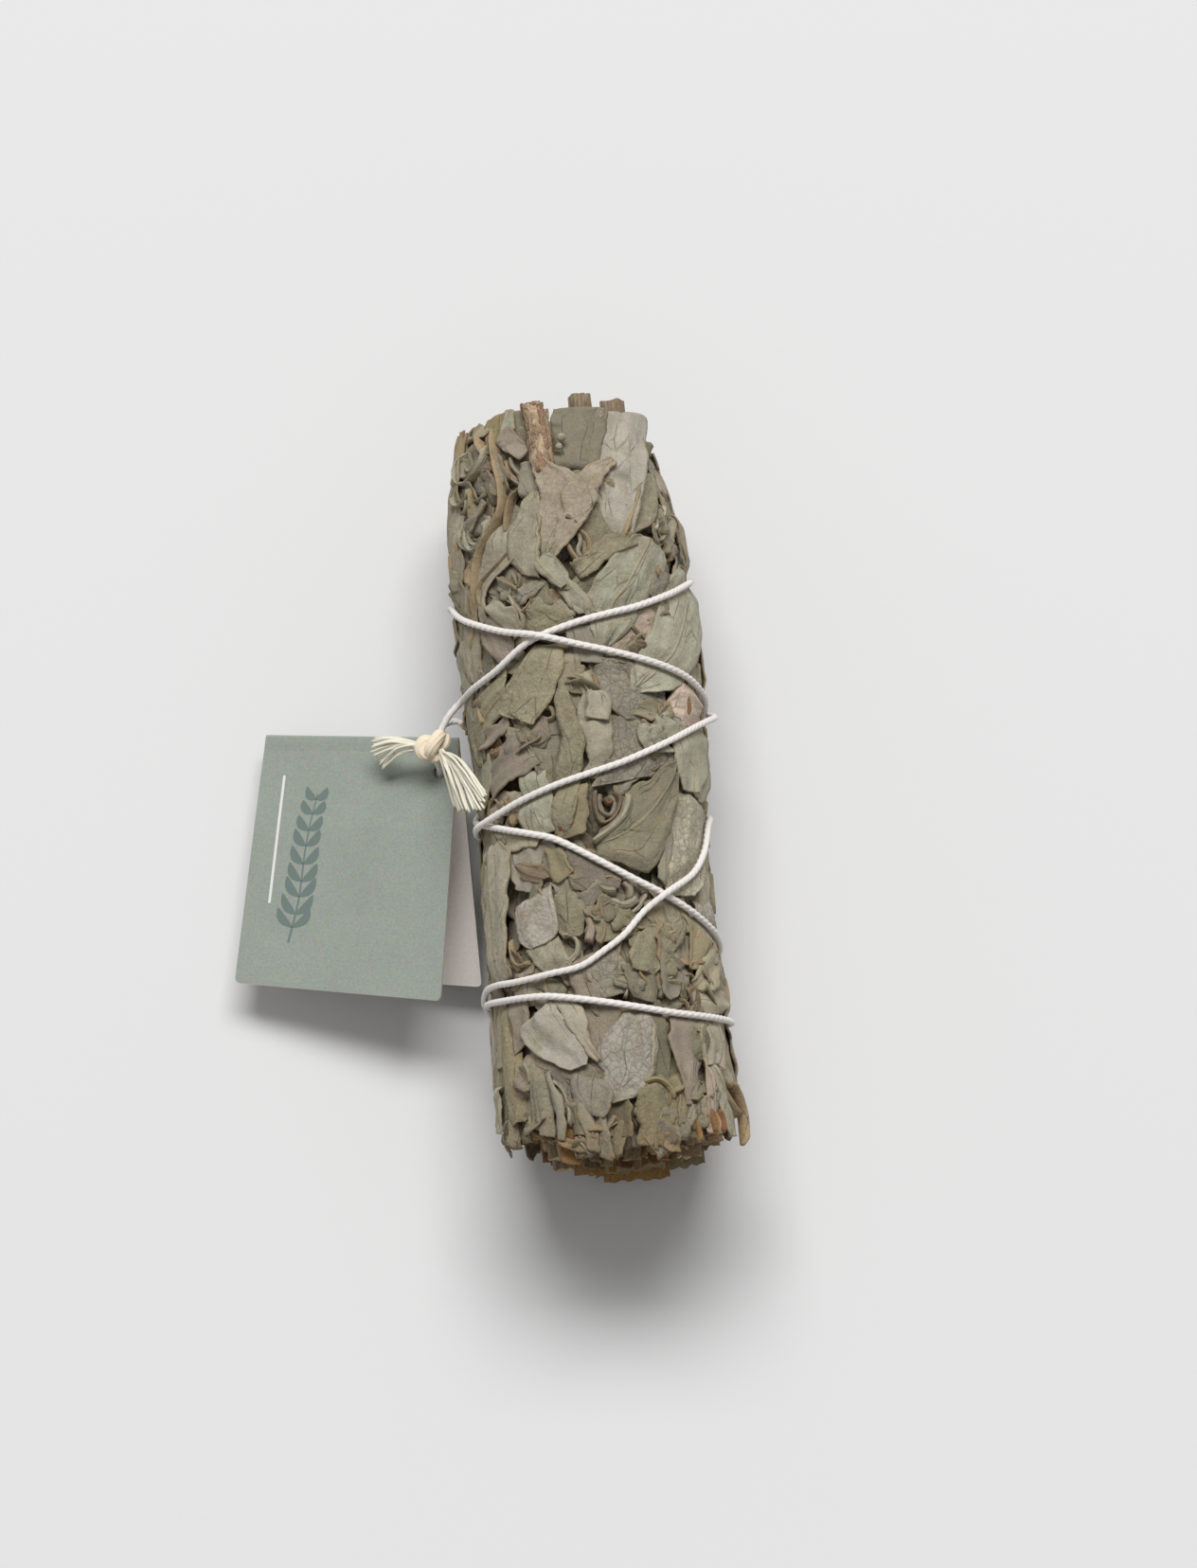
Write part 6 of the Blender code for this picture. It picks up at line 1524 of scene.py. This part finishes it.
# %% Cotton material
cotton, tree, shader = new_material("twisted cotton", 0.95)
shader.inputs["Specular IOR Level"].default_value = 0.15
shader.inputs["Sheen Weight"].default_value = 0.15
here = add_node(tree, "TexCoord", out="Object")
tint = add_node(tree, "Attribute", attribute_name="tint")
fibres = add_node(tree, "TexNoise", [here, 1 / (0.14 * MM), 3])
shaded = add_node(tree, "MapRange", [fibres, 0.3, 0.7, 0.9, 1.05])
tone = add_node(tree, "Mix", [1.0, tint, shaded], data_type="RGBA", blend_type="MULTIPLY")
tree.links.new(tone, shader.inputs["Base Color"])
relief = add_node(tree, "Bump", {"Height": fibres, "Distance": 0.05 * MM, "Strength": 0.7})
tree.links.new(relief, shader.inputs["Normal"])
STRING_WHITE, TAIL_CREAM, KNOT_CREAM = linear("#e9e3de"), linear("#ebe6d3"), linear("#ecddc4")
print("cotton from", len(tree.nodes), "nodes")

# %% [markdown]
# A thread is a tube along a line. Curve objects can be that, but they twist at turns and can't wind round
# each other. Here points are set an even step apart, a side and an up direction are carried along them
# without twisting, and the tube winds round them.

# %% A thread along a line
TWIST, PLY_STEP = 3.2, 0.33


def even_points(line, step):
    """Points an even step apart along a line of points."""
    points, left = [line[0].copy()], step
    for a, b in zip(line, line[1:]):
        way, length = b - a, (b - a).length
        while left <= length:
            points.append(a + way * left / length)
            left += step
        left -= length
    return points


def frames_along(points):
    """A side and an up direction at each point, carried along without twisting."""
    frames = []
    up = Vector((0, 0, 1))
    for index in range(len(points)):
        forward = (points[min(index + 1, len(points) - 1)] - points[max(index - 1, 0)]).normalized()
        up = (up - up.dot(forward) * forward).normalized()
        frames.append((forward.cross(up), up.copy()))
    return frames


def thread(bm, points, radius, sides, colour, taper=0.0, reach=0.0, phase=0.0, twist=TWIST, step=PLY_STEP,
           grooves=0):
    """A tube along points. With a reach it winds round them as a ply; grooves make it a skein of threads."""
    frames = frames_along(points)
    tint = bm.verts.layers.float_color["tint"]

    def place_of(turn, u):
        index = min(round(u * (len(points) - 1)), len(points) - 1)
        side, up = frames[index]
        wind = 2 * math.pi * index * step / twist + phase
        centre = points[index] + (side * math.cos(wind) + up * math.sin(wind)) * reach
        size = radius * (1 - taper * u)
        if grooves:
            between_threads = 0.86 + 0.14 * abs(math.cos(grooves * (turn + 0.35 * wind) / 2))
            pinched = 1 - (2 * abs(u - 0.5)) ** 4 * 0.4
            size *= between_threads * pinched
        return centre + (side * math.cos(turn) + up * math.sin(turn)) * size

    for corner in roll_tube(bm, place_of, sides, len(points) - 1):
        corner[tint] = (*colour, 1)


print("plies turn once in", TWIST, "mm")

# %% [markdown]
# The string is three plies, which lie side by side round its middle line and turn about each other. A normal
# map would give the look of twist. These are real tubes, which throw their own small shadows when seen close.

# %% Three plies along the string
PLY_RADIUS, PLY_REACH = 0.36, 0.115
bm = bmesh.new()
bm.verts.layers.float_color.new("tint")
dense = even_points(smooth_route(string_line, 0.5), PLY_STEP)
for ply in range(3):
    thread(bm, dense, PLY_RADIUS, 6, STRING_WHITE, reach=PLY_REACH, phase=ply * 2 * math.pi / 3)
bmesh.ops.recalc_face_normals(bm, faces=bm.faces)
finish_piece("twisted_string", bm, [cotton], ["cotton_string"])

# %% [markdown]
# Both ends of the string meet in one overhand knot above the tag's hole. Its whole path could be followed,
# but pulled tight it shows only a few thick skeins that cross each other. So it is four tubes, grooved like
# bunched threads, each told by the points it passes.

# %% Knot
bm = bmesh.new()
bm.verts.layers.float_color.new("tint")
# Each skein's radius, and the points it passes, from the knot's middle
KNOT_SKEINS = [
    (0.95, [(0.5, -0.9, -0.4), (-0.9, -1.0, 0.2), (-1.4, -0.1, 0.3), (-0.9, 0.8, 0.3), (0.4, 1.0, 0.1)]),
    (0.92, [(1.5, 2.0, -0.5), (1.1, 1.3, 0.8), (0.35, 0.2, 1.3), (-0.2, -0.7, 0.9), (-0.1, -1.3, -0.4)]),
    (0.6, [(-0.2, -1.2, -0.5), (0.4, -1.6, 0.1), (1.2, -1.3, 0.1), (1.7, -0.5, -0.6)]),
    (0.55, [(1.9, 2.0, -0.6), (2.1, 1.0, 0.0), (1.8, 0.1, 0.1), (1.0, -0.6, -0.4)]),
]
KNOT_STEP = 0.12
for radius, route in KNOT_SKEINS:
    line = even_points(smooth_route([KNOT + Vector(point) for point in route], 0.15), KNOT_STEP)
    thread(bm, line, radius, 40, KNOT_CREAM, step=KNOT_STEP, twist=9.0, grooves=9)
print("knot of", len(KNOT_SKEINS), "skeins")

# %% [markdown]
# Past the knot both ends are untwisted into single threads: one bunch lies flat to the left, the other falls
# over the stick's shoulder. Hair could stand for threads so fine, but hair would not be part of the model.
# Each is a thin tube that bows from the knot to its own end.

# %% Frayed tails
LEFT_TAIL_ENDS = [(-29.5, 8.2, 12.0), (-30.2, 7.3, 12.3), (-29.9, 6.2, 12.2), (-29.2, 5.0, 12.0),
                  (-28.4, 3.9, 11.8)]
RIGHT_TAIL_ENDS = [(-14.0, -3.6, 25.7), (-14.7, -5.0, 25.3), (-16.0, -5.8, 24.0), (-17.6, -5.2, 20.5),
                   (-18.7, -3.6, 17.2)]
TAIL_BOWS = [Vector((-0.3, 0.6, 0.9)), Vector((-0.3, 1.6, 0.9))]
TAIL_STARTS = [Vector((-0.9, 0.2, 0.2)), Vector((0.9, -0.5, 0.2))]
TAIL_RADIUS, TAIL_STEP = 0.19, 0.4
rule = random.Random(53)
for ends_at, bow, root, count in ((LEFT_TAIL_ENDS, TAIL_BOWS[0], TAIL_STARTS[0], 14),
                                  (RIGHT_TAIL_ENDS, TAIL_BOWS[1], TAIL_STARTS[1], 17)):
    for k in range(count):
        spot = (len(ends_at) - 1) * min(max((k + rule.uniform(-0.3, 0.3)) / (count - 1), 0), 1)
        index = min(int(spot), len(ends_at) - 2)
        end = Vector(ends_at[index]).lerp(Vector(ends_at[index + 1]), spot - index)
        end = KNOT + (end - KNOT) * rule.uniform(0.92, 1.01)
        end += Vector([rule.uniform(-0.25, 0.25) for _ in range(3)])
        start = KNOT + root + Vector([rule.uniform(-0.4, 0.4) for _ in range(3)])
        middle = (start + end) / 2 + bow + Vector([rule.uniform(-0.3, 0.3) for _ in range(3)])
        line = even_points(smooth_route([start, middle, end], 0.3), TAIL_STEP)
        thread(bm, line, TAIL_RADIUS, 6, TAIL_CREAM, taper=0.1, reach=0.02, step=TAIL_STEP, phase=k)
bmesh.ops.recalc_face_normals(bm, faces=bm.faces)
finish_piece("knot_and_tails", bm, [cotton], ["cotton_string"])

# %% [markdown]
# The tag is one piece of uncoated card, folded once. It is printed sage green outside, where the ink sinks
# into the fibres and leaves a fine mottle, and left white inside and along its cut edges. An image could hold
# that mottle; noise and a grid of fine dots give it with nothing to load.

# %% Card materials
green_card, tree, shader = new_material("sage green printed card", 0.75)
shader.inputs["Specular IOR Level"].default_value = 0.3
here = add_node(tree, "TexCoord", out="Object")
ink = add_node(tree, "TexNoise", [here, 1 / (0.35 * MM), 4, 0.7])
clouds = add_node(tree, "TexNoise", [here, 1 / (6.0 * MM), 2])
DOT = 0.17 * MM
cells = add_node(tree, "VectorMath", [here, (DOT, DOT, DOT)], operation="SNAP")
dots = add_node(tree, "TexWhiteNoise", [cells], out="Color")
mottled = add_node(tree, "MapRange", [ink, 0.3, 0.7, 0.0, 1.0])
tone = add_node(tree, "Mix", [mottled, "#878f85", "#92998e"], data_type="RGBA")
tone = add_node(tree, "Mix", [0.07, tone, dots], data_type="RGBA")
shaded = add_node(tree, "MapRange", [clouds, 0.3, 0.7, 0.97, 1.03])
tone = add_node(tree, "Mix", [1.0, tone, shaded], data_type="RGBA", blend_type="MULTIPLY")
tree.links.new(tone, shader.inputs["Base Color"])
relief = add_node(tree, "Bump", {"Height": ink, "Distance": 0.02 * MM})
tree.links.new(relief, shader.inputs["Normal"])

white_card = two_toned("white card inside", 0.8, 0.4, 3, 0.3, 0.7, "#dcd4cd", "#e4ddd6", 0.02)

slate_ink, tree, shader = new_material("slate printing ink", 0.7)
shader.inputs["Base Color"].default_value = (*linear("#65746f"), 1)
white_ink, tree, shader = new_material("white printing ink", 0.7)
shader.inputs["Base Color"].default_value = (*linear("#dcdcd6"), 1)
print("green card outside, white inside")

# %% [markdown]
# The card hangs from its string, folded once at its far side, with both leaves a little bent. It could be
# folded flat and then bent. Here its corners are told, and a line from the front leaf's open end over the
# fold to the back leaf's says where each point of the sheet lies.

# %% Form of the folded card
FOLD_LEFT, FOLD_RIGHT = Vector((-44.3, 11.1, 4.6)), Vector((-17.9, 7.2, 12.0))
FRONT_LEFT, FRONT_RIGHT = Vector((-50.2, -22.7, 5.6)), Vector((-22.5, -28.3, 12.6))
BACK_LEFT, BACK_RIGHT = Vector((-48.4, -20.4, 0.4)), Vector((-17.0, -25.4, 4.6))
FOLD_OPENING = 1.3
FRONT_SHARE = 0.44


def tag_place(u, v):
    """A point of the tag's middle sheet: u from its left, v from the front leaf's bottom over the fold."""
    fold = FOLD_LEFT.lerp(FOLD_RIGHT, u)
    down = Vector((0, 0, FOLD_OPENING))
    front, back = FRONT_LEFT.lerp(FRONT_RIGHT, u), BACK_LEFT.lerp(BACK_RIGHT, u)
    ways = [(0, front), (0.15, front.lerp(fold, 0.3)), (0.3, front.lerp(fold, 0.65) + Vector((0, 0, 0.25))),
            (FRONT_SHARE, front.lerp(fold, 0.95)), (0.47, fold + down * 0.12),
            (0.5, fold - down * 0.5 + Vector((0, 0.35, 0))),
            (0.53, fold - down * 1.1), (0.56, back.lerp(fold - down, 0.95)),
            (0.7, back.lerp(fold - down, 0.62)), (0.85, back.lerp(fold - down, 0.3)), (1, back)]
    return between(ways, v)


print("front leaf", round((FOLD_LEFT - FRONT_LEFT).length, 1), "mm long")

# %% [markdown]
# A sheet with rounded corners is given the thickness of card, white within and along its edges. A short
# cylinder punches the hole. Both modifiers are applied at once, so that no cutter stays in the scene.

# %% Card with a punched hole
CARD, CORNER, PUNCH = 0.5, 0.7, 3.0
bm = bmesh.new()
bmesh.ops.create_grid(bm, x_segments=30, y_segments=100, size=1)
for corner in bm.verts:
    corner.co = tag_place((corner.co.x + 1) / 2, (corner.co.y + 1) / 2)
corners = [corner for corner in bm.verts if len(corner.link_edges) == 2]
bmesh.ops.bevel(bm, geom=corners, offset=CORNER, segments=4, profile=0.5, affect="VERTICES", material=-1)
bmesh.ops.scale(bm, vec=(MM, MM, MM), verts=bm.verts)
mesh = bpy.data.meshes.new("folded_card_tag")
bm.to_mesh(mesh)
bm.free()
for look in (green_card, white_card):
    mesh.materials.append(look)
tag = bpy.data.objects.new("folded_card_tag", mesh)
bpy.context.scene.collection.objects.link(tag)
sheet = tag.modifiers.new("card", "SOLIDIFY")
sheet.thickness = CARD * MM
sheet.offset = 0
sheet.material_offset = 1
sheet.material_offset_rim = 1
bm = bmesh.new()
bmesh.ops.create_cone(bm, cap_ends=True, segments=32, radius1=HOLE_RADIUS * MM, radius2=HOLE_RADIUS * MM,
                      depth=PUNCH * MM)
bmesh.ops.translate(bm, vec=HOLE * MM, verts=bm.verts)
mesh = bpy.data.meshes.new("punch")
bm.to_mesh(mesh)
bm.free()
punch = bpy.data.objects.new("punch", mesh)
bpy.context.scene.collection.objects.link(punch)
hole = tag.modifiers.new("punched hole", "BOOLEAN")
hole.operation = "DIFFERENCE"
hole.object = punch
bpy.context.view_layer.update()
cut = bpy.data.meshes.new_from_object(tag.evaluated_get(bpy.context.evaluated_depsgraph_get()))
tag.modifiers.clear()
tag.data = cut
bpy.data.objects.remove(punch)
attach(tag, "root")
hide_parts("tag_card")
print("tag", len(cut.polygons), "faces")

# %% [markdown]
# The front leaf is printed with a small sprig and a short rule. An image could carry both, but thin strips of
# mesh just above the card stay sharp from anywhere. Ink is far thinner than card, so they lie only a little
# over it.

# %% Printed sprig and rule
TAG_WIDTH = (FOLD_RIGHT - FOLD_LEFT).length
TAG_HEIGHT = (FOLD_LEFT - FRONT_LEFT).length
INK_LIFT = 0.02


def on_card(x, y):
    """A place on the front leaf's printed face, mm from its left edge and from its open end."""
    u, v = x / TAG_WIDTH, FRONT_SHARE * y / (0.95 * TAG_HEIGHT)
    here, beside, beyond = tag_place(u, v), tag_place(u + 0.01, v), tag_place(u, v + 0.01)
    return here + (beside - here).cross(beyond - here).normalized() * (CARD / 2 + INK_LIFT)


def stroke(bm, path, width_of, index):
    """A printed stroke along a path on the card, of a width that changes along it."""
    points = smooth_route([(x, y, 0) for x, y in path], 0.5)
    steps = len(points) - 1
    corners = bmesh.ops.create_grid(bm, x_segments=1, y_segments=steps, size=1)["verts"]
    for corner in corners:
        k = round((corner.co.y + 1) / 2 * steps)
        way = (points[min(k + 1, steps)] - points[max(k - 1, 0)]).normalized()
        off = corner.co.x * width_of(k / steps) / 2
        corner.co = on_card(points[k].x + way.y * off, points[k].y - way.x * off)
    for face in {face for corner in corners for face in corner.link_faces}:
        face.material_index = index


bm = bmesh.new()
sprig = smooth_route([(6.6, 6.5, 0), (7.4, 13.0, 0), (7.6, 20.0, 0), (8.6, 28.0, 0)], 0.25)
stroke(bm, [(point.x, point.y) for point in sprig[::8]], lambda u: 0.3 - 0.15 * u, 0)
for k in range(9):
    foot = sprig[round((k + 1) / 10 * (len(sprig) - 1))]
    for side in (-1, 1):
        reach = 3.6 - 0.16 * k
        tip = foot + Vector((side * reach * 0.62, reach * 0.78, 0))
        mid = foot.lerp(tip, 0.5) + Vector((side * 0.35, -0.25, 0))
        midline = [(foot.x, foot.y), (mid.x, mid.y), (tip.x, tip.y)]
        stroke(bm, midline, lambda u: 1.15 * math.sin(math.pi * u) ** 0.8 + 0.04, 0)
stroke(bm, [(3.4, 12.0), (3.4, 29.0)], lambda u: 0.35, 1)
bmesh.ops.recalc_face_normals(bm, faces=bm.faces)
finish_piece("printed_sprig_and_rule", bm, [slate_ink, white_ink], ["tag_card"], thickness=0.015,
             smooth=False)
